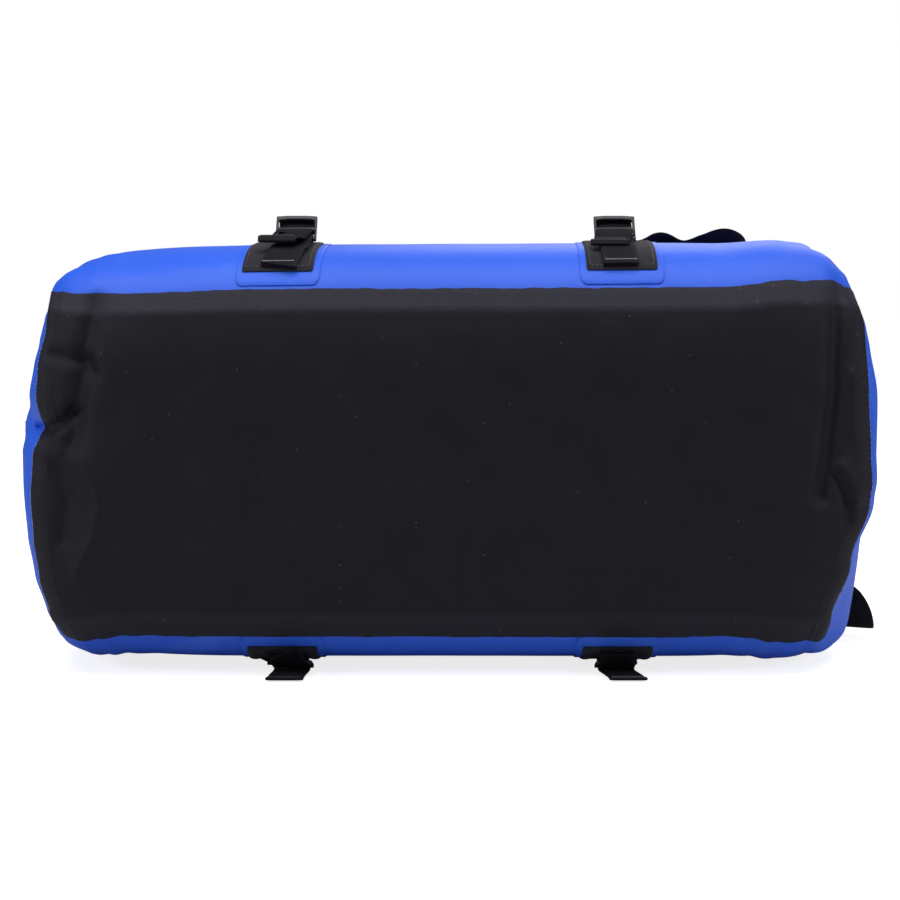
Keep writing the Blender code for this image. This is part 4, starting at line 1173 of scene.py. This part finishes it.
def make_back_strap():
    """Flat on the floor under the bag."""
    floor = WEBBING / 2
    route = []
    origin, across, along, off = lock_frame(-1, "right")
    for distance, height in ((0.0155, 0.0004), (0.0172, -0.0020), (0.0190, -0.0036), (0.0228, -0.0040)):
        point = origin + along * distance + off * height
        route.append((*point, *across))
    flat = (  # x, y, lift, heading in degrees
        (0.120, -0.085, 0, 90), (0.123, -0.072, 0, 70), (0.138, -0.045, 0, 56), (0.164, -0.005, 0, 62),
        (0.176, 0.033, 0, 95), (0.156, 0.062, 0.0004, 150), (0.115, 0.072, 0.002, 176),
        (0.075, 0.073, 0.0053, 180), (0.035, 0.073, 0.0053, 180), (0.0, 0.073, 0.0053, 180),
    )
    for x, y, lift, heading in flat:
        run = Vector((math.cos(math.radians(heading)), math.sin(math.radians(heading)), 0))
        route.append((x, y, floor + lift, *run.cross(UP)))
    mirror = [(-x, y, z, u, -v, -w) for x, y, z, u, v, w in reversed(route[:-1])]
    strap_band("carry_strap_back_webbing", route + mirror, "back_strap", "carry_strap_back")


def make_grip(name, node, body, middle, slope, thickness):
    """A padded wrap, its cover pulled into soft folds by a cloth simulation, closed along its underside."""
    length, width, most_moved = 0.130, 0.0335, 0.0014
    spots, around = 40, 28
    bm = bmesh.new()
    rings = []
    for i in range(spots + 1):
        t = i / spots
        swell = 0.86 + 0.14 * ease(min(t, 1 - t) / 0.10)
        ring = []
        for j in range(around):
            a = 2 * math.pi * j / around
            u = math.copysign(abs(math.cos(a)) ** 0.62, math.cos(a)) * width / 2 * swell
            v = math.copysign(abs(math.sin(a)) ** 0.75, math.sin(a)) * (thickness - 0.0022) / 2 * swell
            ring.append(bm.verts.new((length * (t - 0.5), u, v)))
        rings.append(ring)
    for near, far in zip(rings, rings[1:]):
        for j in range(around):
            bm.faces.new((near[j - 1], near[j], far[j], far[j - 1]))
    bm.faces.new(rings[0])
    bm.faces.new(rings[-1])
    grip = finished(name, bm, CLOTH)
    bpy.ops.object.select_all(action="DESELECT")
    grip.select_set(True)
    bpy.context.view_layer.objects.active = grip
    net = grip.modifiers.new("net", "REMESH")
    net.mode = "VOXEL"
    net.voxel_size = 0.0026
    bpy.ops.object.modifier_apply(modifier="net")
    rest = [v.co.copy() for v in grip.data.vertices]
    cloth = grip.modifiers.new("cover", "CLOTH")
    cloth.settings.use_pressure = True
    cloth.settings.uniform_pressure_force = 4.0
    cloth.settings.effector_weights.gravity = 0.0
    cloth.settings.quality = 5
    cloth.settings.mass = 0.15
    cloth.settings.tension_stiffness = 12
    cloth.settings.shrink_min = -0.05
    cloth.point_cache.frame_end = 20
    for number in range(1, 21):
        bpy.context.scene.frame_set(number)
    bpy.ops.object.modifier_apply(modifier="cover")
    bpy.context.scene.frame_set(1)
    for vertex, before in zip(grip.data.vertices, rest):
        moved = vertex.co - before
        if moved.length > most_moved:
            vertex.co = before + moved.normalized() * most_moved
    fine = grip.modifiers.new("fine", "SUBSURF")
    fine.levels = fine.render_levels = 1
    bpy.ops.object.modifier_apply(modifier="fine")
    for vertex in grip.data.vertices:  # edge binding, and folds across the wrap
        x, y, z = vertex.co
        fold = 0.00035 * math.sin(x * 150 + 2.5 * math.sin(y * 90)) * ease((abs(z) - 0.001) / 0.003)
        bound = 0.0007 * hemmed(abs(x), 0.0625, 0.0022)
        vertex.co.z += math.copysign(fold + bound, z)
        vertex.co.z = min(vertex.co.z, thickness / 2)
    along = Vector((0, math.cos(slope), math.sin(slope)))
    off = Vector((0, -math.sin(slope), math.cos(slope)))
    turn = Matrix((Vector((1, 0, 0)), along, off)).transposed().to_4x4()
    low = min(v.co.z for v in grip.data.vertices)
    grip.data.transform(Matrix.Translation(Vector(middle) + off * max(-thickness / 2 - low, 0)) @ turn)
    grip.data.shade_smooth()
    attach(grip, body)
    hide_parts(node)
    rows = []
    for side in (-1, 1):
        for inset in (0.0035, 0.0065):
            aside, height = side * (width / 2 - inset), thickness / 2 - 0.0006
            line = [Vector((length * (k / 40 - 0.5) * 0.94, aside, height)) for k in range(41)]
            line = [Vector(middle) + turn.to_3x3() @ point for point in line]
            rows += seam_rows(line, off, pitch=0.0032, gap=0.0009)
    stitching(name + "_stitches", rows, body, THREAD)


def make_straps():
    make_front_strap()
    make_back_strap()
    y, step = 0.056, 0.002
    slope = math.atan2(side_height(0, y + step) - side_height(0, y - step), 2 * step)
    make_grip("grip_front_pad", "grip_front", "front_strap", on_side(0, 0.058, 0.0052), slope, 0.0088)
    make_grip("grip_back_pad", "grip_back", "back_strap", (0, 0.073, 0.0060), 0.0, 0.0115)


# Rolled mouth


def spiral(shift):
    """Points of the flattened spiral that the doubled mouth fabric is rolled into, moved out by shift."""
    turns, steps = 3, 40
    points = []
    for i in range(turns * steps + 1):
        turn = 2 * math.pi * i / steps
        radius = 0.0014 + 0.0036 * turn / (2 * math.pi) + 0.0013 + shift
        flat = 0.0090 * max(-1.0, min(1.0, 1.7 * math.cos(turn)))
        points.append((flat + radius * math.cos(turn), radius * math.sin(turn)))
    return points


def make_roll():
    """The mouth, rolled three times, creased along its length and soft at its two ends."""
    grids, uv = [[], []], []
    for x in stations(90, 0.285):
        pinch = 1 - 0.05 * ease((abs(x) - 0.20) / 0.085)
        for grid, shift in zip(grids, (0.00125, -0.00125)):
            row = []
            for k, (v, u) in enumerate(spiral(shift)):
                wave = noise.noise(Vector((x * 14.0, k * 0.05, 3.0))) * 0.0009 * min(k / 50, 1)
                row.append(Vector((x, ROLL_Y + u * pinch + wave * 0.6, MIDDLE_Z + v * pinch + wave)))
            grid.append(row)
        uv.append([(x, 0.003 * k) for k in range(len(grids[0][-1]))])
    shell("mouth_roll_fabric", *grids, BLUE, "blue_tarpaulin", "roll", ("mouth_roll",), uv)
    for name in ("stiffener_inner", "stiffener_outer"):
        node = frame["nodes"][name]
        node.data.materials.clear()
        node.data.materials.append(STRIP)
    from_y, deep = 0.1105, 0.0148
    for name, facing in (("collar_front", 1), ("collar_back", -1)):
        outer, inner, uv = [], [], []
        for x in stations(90, 0.278):
            lines = ([], [])
            near = math.copysign(min(abs(x), 0.25), x)
            start = settled((x, from_y, MIDDLE_Z + facing * side_height(near, from_y, 0.0012)))
            for j in range(13):
                t = j / 12
                y = from_y + deep * t
                drawn_in = 1 - (1 - t) ** 1.2
                z = MIDDLE_Z + facing * (abs(start.z - MIDDLE_Z) * (1 - drawn_in) + 0.0052 * drawn_in)
                fold = 0.0006 * noise.noise(Vector((x * 40.0, t * 3.0, facing * 4.0))) * t
                lines[0].append(Vector((x, y, z + facing * (0.0006 + fold))))
                lines[1].append(Vector((x, y, z + facing * (-0.0003 + fold))))
            outer.append(lines[0])
            inner.append(lines[1])
            uv.append([(x, deep * j / 12) for j in range(13)])
        collar = shell(name, outer, inner, BLUE, "blue_tarpaulin", None, (), uv)
        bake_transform(collar)


# Ends: patches, buckles and handles


def on_end(side, y, drop, out):
    """A point out from an end at y, drop below its middle."""
    point = settled((side * end_reach(y, -drop), y, MIDDLE_Z - drop))
    return point + Vector((side * out, 0, 0))


def make_end_patch(side, end):
    """Sewn cloth under an end's handle and buckle."""
    rows, columns = 40, 30
    length, width = 0.148, 0.074
    from_y, to_y = WIDEST_Y - 0.050, WIDEST_Y + 0.098
    outer, inner, uv = [], [], []
    for i in range(rows + 1):
        y = from_y + (to_y - from_y) * i / rows
        lines = ([], [])
        for j in range(columns + 1):
            z = -0.052 + width * j / columns
            edge = min(min(i, rows - i) / rows * length, min(j, columns - j) / columns * width)
            hem = 0.0004 * hemmed(edge, 0.004, 0.004)
            lines[0].append(on_end(side, y, -z, 0.0014 + hem))
            lines[1].append(on_end(side, y, -z, 0.0003))
        outer.append(lines[0])
        inner.append(lines[1])
        uv.append([(y, width * j / columns) for j in range(columns + 1)])
    shell(f"end_patch_{end}_cloth", outer, inner, CLOTH, "black_webbing", "bag", (f"end_patch_{end}",), uv)
    rows = []
    inset = 0.005
    for z in (-0.047, 0.017):
        line = [on_end(side, from_y + inset + (length - 2 * inset) * k / 30, -z, 0.0020) for k in range(31)]
        rows += seam_rows(line, Vector((side, 0, 0)), pitch=0.0032, gap=0.0009)
    for y in (from_y + inset, to_y - inset):
        line = [on_end(side, y, 0.047 - 0.064 * k / 14, 0.0020) for k in range(15)]
        rows += seam_rows(line, Vector((side, 0, 0)), pitch=0.0032, gap=0.0009)
    stitching(f"end_patch_stitches_{end}", rows, "bag", THREAD)


def make_anchor(side, end):
    """Webbing from the patch round the housing's bar."""
    low_y, plane = HOUSING_Y, BUCKLE_PLANE
    bar_y = low_y + 0.0015
    outside = 0.0045 + WEBBING / 2 + 0.0004
    doubled = SEWN + WEBBING + 0.0004
    points = []
    for i in range(6):
        y = WIDEST_Y - 0.042 + i * (bar_y - WIDEST_Y + 0.042) / 5
        points.append((abs(on_end(side, y, 0, SEWN).x), y))
    points[5] = (min(points[5][0], plane - outside), bar_y)
    points += [
        (plane - outside, low_y + 0.0040),
        (plane - outside + 0.0020, low_y + 0.0054),
        (plane + outside - 0.0020, low_y + 0.0054),
        (plane + outside, low_y + 0.0030),
        (plane + outside, low_y + 0.0002),
        (plane + outside - 0.0022, low_y - 0.0040),
    ]
    for back in (0.0100, 0.0230, 0.0380):
        points.append((abs(on_end(side, low_y - back, 0, doubled).x), low_y - back))
    path = [Vector((side * x, y, MIDDLE_Z)) for x, y in smooth_path(points, 4)]
    band(f"buckle_anchor_{end}_webbing", path, [UP] * len(path), "bag", (f"buckle_anchor_{end}",))
    rows = []
    for back in (0.016, 0.034):
        spots = [on_end(side, low_y - back, -0.010 + 0.020 * k / 8, doubled + 0.0008) for k in range(9)]
        rows += seam_rows(spots, Vector((side, 0, 0)), pitch=0.0020, gap=0.0003, zigzag=0.0005)
    stitching(f"anchor_stitches_{end}", rows, "bag", THREAD)


def make_closure(side, end):
    """Webbing from the roll's end over the shoulder to the buckle, with its free end."""
    plane = BUCKLE_PLANE
    bar_y = HOUSING_Y + HOUSING_LENGTH + 0.022 - 0.0016
    slot_y = bar_y - 0.0041
    off = 0.0025 + WEBBING / 2 + 0.0004
    outer, inner = plane + off, plane - off
    start = 0.2853
    points = [
        (start, ROLL_Y), (start + 0.010, ROLL_Y), (start + 0.020, ROLL_Y - 0.0025),
        (outer + 0.0010, ROLL_Y - 0.0100), (outer + 0.0060, ROLL_Y - 0.0220), (outer, bar_y + 0.0120),
        (outer, slot_y + 0.0016), (outer - 0.0018, slot_y + 0.0001), (inner + 0.0018, slot_y + 0.0001),
        (inner, slot_y + 0.0016), (inner, bar_y + 0.0120), (inner - 0.0002, bar_y + 0.0200),
    ]
    path = [Vector((side * x, y, MIDDLE_Z)) for x, y in smooth_path(points, 5)]
    strap = band(f"closure_strap_{end}_webbing", path, [UP] * len(path))
    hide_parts(f"closure_strap_{end}")
    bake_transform(strap)


def dressed_buckle(node_name, low, high, step, count):
    """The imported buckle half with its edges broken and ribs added, step apart, in moulded plastic."""
    source = frame["nodes"][node_name]
    bpy.ops.object.select_all(action="DESELECT")
    made = bpy.data.objects.new(node_name + "_moulded", source.data.copy())
    bpy.context.scene.collection.objects.link(made)
    made.select_set(True)
    bpy.context.view_layer.objects.active = made
    bpy.ops.object.mode_set(mode="EDIT")
    bpy.ops.mesh.select_all(action="SELECT")
    bpy.ops.mesh.remove_doubles(threshold=1e-6)
    bpy.ops.mesh.dissolve_limited(angle_limit=math.radians(1))
    bpy.ops.mesh.normals_make_consistent(inside=False)
    bpy.ops.object.mode_set(mode="OBJECT")
    edges = made.modifiers.new("edges", "BEVEL")
    edges.width = 0.00035
    edges.segments = 2
    edges.limit_method = "ANGLE"
    edges.angle_limit = math.radians(50)
    bpy.ops.object.modifier_apply(modifier="edges")
    bpy.ops.object.select_all(action="DESELECT")
    middle, size = [(a + b) / 2 for a, b in zip(low, high)], [abs(b - a) for a, b in zip(low, high)]
    bpy.ops.mesh.primitive_cube_add(size=1, location=middle)
    rib = bpy.context.active_object
    rib.scale = size
    bpy.ops.object.transform_apply(location=True, rotation=True, scale=True)
    round_over = rib.modifiers.new("round", "BEVEL")
    round_over.width = min(size) * 0.42
    round_over.segments = 3
    bpy.ops.object.modifier_apply(modifier="round")
    copies_joined(made, rib, [Vector((0, step * k, 0)) for k in range(count)])
    made.data.materials.clear()
    made.data.materials.append(PLASTIC)
    for face in made.data.polygons:
        face.material_index = 0
    bpy.ops.object.shade_smooth_by_angle(angle=math.radians(38))
    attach(made, source["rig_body"])
    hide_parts(node_name)


def make_buckle(side, end):
    """The two halves, ribbed where fingers press and pull."""
    plane = side * BUCKLE_PLANE
    y = HOUSING_Y + 0.0140
    low, high = (plane + side * 0.0043, y, MIDDLE_Z - 0.0085), (plane + side * 0.0051, y + 0.0014, MIDDLE_Z + 0.0085)
    dressed_buckle(f"buckle_female_{end}", low, high, 0.0042, 4)
    y = HOUSING_Y + HOUSING_LENGTH + 0.0022
    low, high = (plane + side * 0.0023, y, MIDDLE_Z - 0.0120), (plane + side * 0.0030, y + 0.0012, MIDDLE_Z + 0.0120)
    dressed_buckle(f"buckle_male_{end}", low, high, 0.0036, 3)


def make_handle(side, end):
    """A slack grab handle: sewn feet and a band that hangs and twists out between them."""
    middle, reach, drop = HOUSING_Y, 0.046, 0.034
    for label, toward in (("base", -1), ("mouth", 1)):
        near = middle + toward * (reach + 0.0006)
        path = [on_end(side, near + toward * 0.016 * i / 6, drop, SEWN) for i in range(7)]
        band(f"handle_foot_{label}_{end}_webbing", path, [UP] * 7, "bag", (f"handle_foot_{label}_{end}",))
        rows = []
        first, second = (near + toward * t for t in (0.002, 0.014))
        lines = [[(y, drop + 0.010 * (2 * k / 6 - 1)) for k in range(7)] for y in (first, second)]
        lines += [[(first + (second - first) * k / 6, drop + z) for k in range(7)] for z in (-0.010, 0.010)]
        for line in lines:
            line = [on_end(side, y, down, 0.0044) for y, down in line]
            rows += seam_rows(line, Vector((side, 0, 0)), pitch=0.0022, gap=0.0006)
        stitching(f"handle_stitches_{label}_{end}", rows, "bag", THREAD)
    foot = [on_end(side, middle + toward * reach, drop, 0.0022) for toward in (-1, 1)]
    if side > 0:
        spots = [  # y from the middle, drop, x of the centre, outward turn in degrees
            (-0.046, 0.034, foot[0].x, 0),
            (-0.040, 0.0345, None, 0),
            (-0.0310, 0.042, None, 0),
            (-0.0220, 0.060, None, 0),
            (-0.0165, 0.086, None, 4),
            (-0.0135, 0.104, None, 22),
            (-0.0105, 0.118, 0.3055, 56),
            (-0.0065, 0.132, 0.3120, 76),
            (-0.0010, 0.1432, 0.3156, 84),
            (0.0080, 0.1462, 0.3164, 86),
            (0.0155, 0.1410, 0.3140, 84),
            (0.0205, 0.1250, 0.3085, 70),
            (0.0240, 0.1050, 0.3035, 36),
            (0.0280, 0.084, None, 14),
            (0.0320, 0.060, None, 4),
            (0.0370, 0.042, None, 0),
            (0.0425, 0.0345, None, 0),
            (0.046, 0.034, foot[1].x, 0),
        ]
    else:
        spots = [
            (-0.046, 0.034, foot[0].x, 0),
            (-0.040, 0.0342, None, 0),
            (-0.030, 0.038, None, 4),
            (-0.018, 0.048, 0.3110, 10),
            (-0.005, 0.057, 0.3105, 14),
            (0.005, 0.059, 0.3100, 16),
            (0.016, 0.053, 0.3090, 12),
            (0.028, 0.043, None, 6),
            (0.038, 0.0355, None, 2),
            (0.042, 0.0342, None, 0),
            (0.046, 0.034, foot[1].x, 0),
        ]
    points = []
    for along, drop, x, turn in spots:
        here = abs(on_end(side, middle + along, drop, 0.0026).x) if x is None else abs(x)
        points.append((side * here, middle + along, MIDDLE_Z - drop, turn))
    path = smooth_path(points, 6)
    centres = [Vector(p[:3]) for p in path]
    across = []
    for p, tangent in zip(path, tangents(centres)):
        a = math.radians(p[3])
        flat = Vector((1, 0, 0)).cross(tangent).normalized()
        across.append(squared(flat * math.cos(a) - Vector((side, 0, 0)) * math.sin(a), tangent))
    band(f"grab_handle_{end}_webbing", centres, across, f"handle_{end}", (f"grab_handle_{end}",))


def make_ends():
    for side, end in ((-1, "left"), (1, "right")):
        make_end_patch(side, end)
        make_anchor(side, end)
        make_buckle(side, end)
        make_closure(side, end)
        make_handle(side, end)


def make_frayed_edges():
    """Loose light threads along the cut ends of the base fabric."""
    rows = []
    low, high = lower_edge(SEAM_X), upper_edge(SEAM_X)
    for side in (-1, 1):
        count = 90 if side < 0 else 50
        for k in range(count):
            angle = low + (high - low) * (0.03 + 0.94 * k / (count - 1))
            shake = noise.noise(Vector((k * 1.7, side * 5.0, 0.5)))
            start = tube_point(side * (SEAM_X - 0.0004), angle, 0.0013)
            stop = tube_point(side * (SEAM_X + 0.0002 + 0.0005 * abs(shake)), angle + 0.010 + 0.008 * shake, 0.0010)
            rows.append((start, stop, Vector((side * 0.5, -1, 0)).normalized()))
    stitching("frayed_edges", rows, "bag", PALE_THREAD_AND_HIGHLIGHT, 0.00040)


def seen_by_camera(tree, light, seen, output):
    """The camera sees one shader, and all other light meets the other."""
    ray = tree.nodes.new("ShaderNodeLightPath")
    mix = tree.nodes.new("ShaderNodeMixShader")
    for source, socket in zip((ray.outputs["Is Camera Ray"], light.outputs[0], seen.outputs[0]), mix.inputs):
        tree.links.new(source, socket)
    tree.links.new(mix.outputs[0], tree.nodes[output].inputs["Surface"])


def make_stage():
    """Pale floor, soft light and the camera."""
    bpy.ops.object.select_all(action="DESELECT")
    bpy.ops.mesh.primitive_plane_add(size=14, location=(0, 0, 0))
    floor = bpy.context.active_object
    floor.name = "floor"
    paint = bpy.data.materials.new("pale floor")
    paint.use_nodes = True
    tree = paint.node_tree
    shader = tree.nodes["Principled BSDF"]
    shader.inputs["Base Color"].default_value = (0.62, 0.62, 0.62, 1)
    shader.inputs["Roughness"].default_value = 0.9
    glow = tree.nodes.new("ShaderNodeEmission")
    glow.inputs["Color"].default_value = (1, 1, 1, 1)
    spot = tree.nodes.new("ShaderNodeTexCoord")
    away = tree.nodes.new("ShaderNodeVectorMath")
    away.operation = "LENGTH"
    tree.links.new(spot.outputs["Object"], away.inputs[0])
    tree.links.new(ramp(tree, away.outputs["Value"], 0.30, 1.10), glow.inputs["Strength"])
    glow.inputs["Strength"].links[0].from_node.inputs["To Min"].default_value = 0.80
    both = tree.nodes.new("ShaderNodeAddShader")
    tree.links.new(shader.outputs[0], both.inputs[0])
    tree.links.new(glow.outputs[0], both.inputs[1])
    seen_by_camera(tree, shader, both, "Material Output")
    floor.data.materials.append(paint)
    world = bpy.data.worlds.new("studio")
    bpy.context.scene.world = world
    world.use_nodes = True
    tree = world.node_tree
    sky = tree.nodes["Background"]
    sky.inputs["Color"].default_value = (0.86, 0.90, 1.0, 1)
    sky.inputs["Strength"].default_value = 0.08
    white = tree.nodes.new("ShaderNodeBackground")
    white.inputs["Color"].default_value = (1, 1, 1, 1)
    white.inputs["Strength"].default_value = 1.0
    seen_by_camera(tree, sky, white, "World Output")
    for name, spot, aim, size, power in (
        ("overhead", (0.0, -0.35, 1.7), (0, 0, 0.15), (2.4, 1.2), 31.0),
        ("from_the_front", (-0.3, -2.4, 1.6), (0, 0, 0.15), (1.6, 1.2), 3.0),
        ("from_the_left", (-1.9, -0.9, 0.9), (-0.15, -0.15, 0.16), (0.4, 0.4), 11.0),
        ("from_the_right", (1.9, -0.8, 0.8), (0.15, -0.15, 0.16), (0.4, 0.4), 8.0),
        ("from_behind", (0.6, 1.8, 1.3), (0, 0, 0.2), (1.6, 1.0), 12.0),
    ):
        data = bpy.data.lights.new(name, "AREA")
        data.shape = "RECTANGLE"
        data.size, data.size_y = size
        data.energy = power
        lamp = bpy.data.objects.new(name, data)
        bpy.context.scene.collection.objects.link(lamp)
        lamp.location = spot
        lamp.rotation_euler = (Vector(aim) - Vector(spot)).to_track_quat("-Z", "Y").to_euler()
    data = bpy.data.cameras.new("camera")
    data.lens, data.sensor_width = 85, 36
    camera = bpy.data.objects.new("camera", data)
    bpy.context.scene.collection.objects.link(camera)
    rise, distance, aim = math.radians(5.5), 1.62, Vector((0, 0, 0.1487))
    camera.location = aim + distance * Vector((0, -math.cos(rise), math.sin(rise)))
    camera.rotation_euler = (aim - camera.location).to_track_quat("-Z", "Y").to_euler()
    bpy.context.scene.camera = camera
    bpy.context.scene.view_settings.view_transform = "Standard"


make_stage()
make_panels()
make_frayed_edges()
lock_model = model_lock()
for facing in (1, -1):
    for end in ("left", "right"):
        make_tab(facing, end, lock_model)
make_straps()
make_roll()
make_ends()
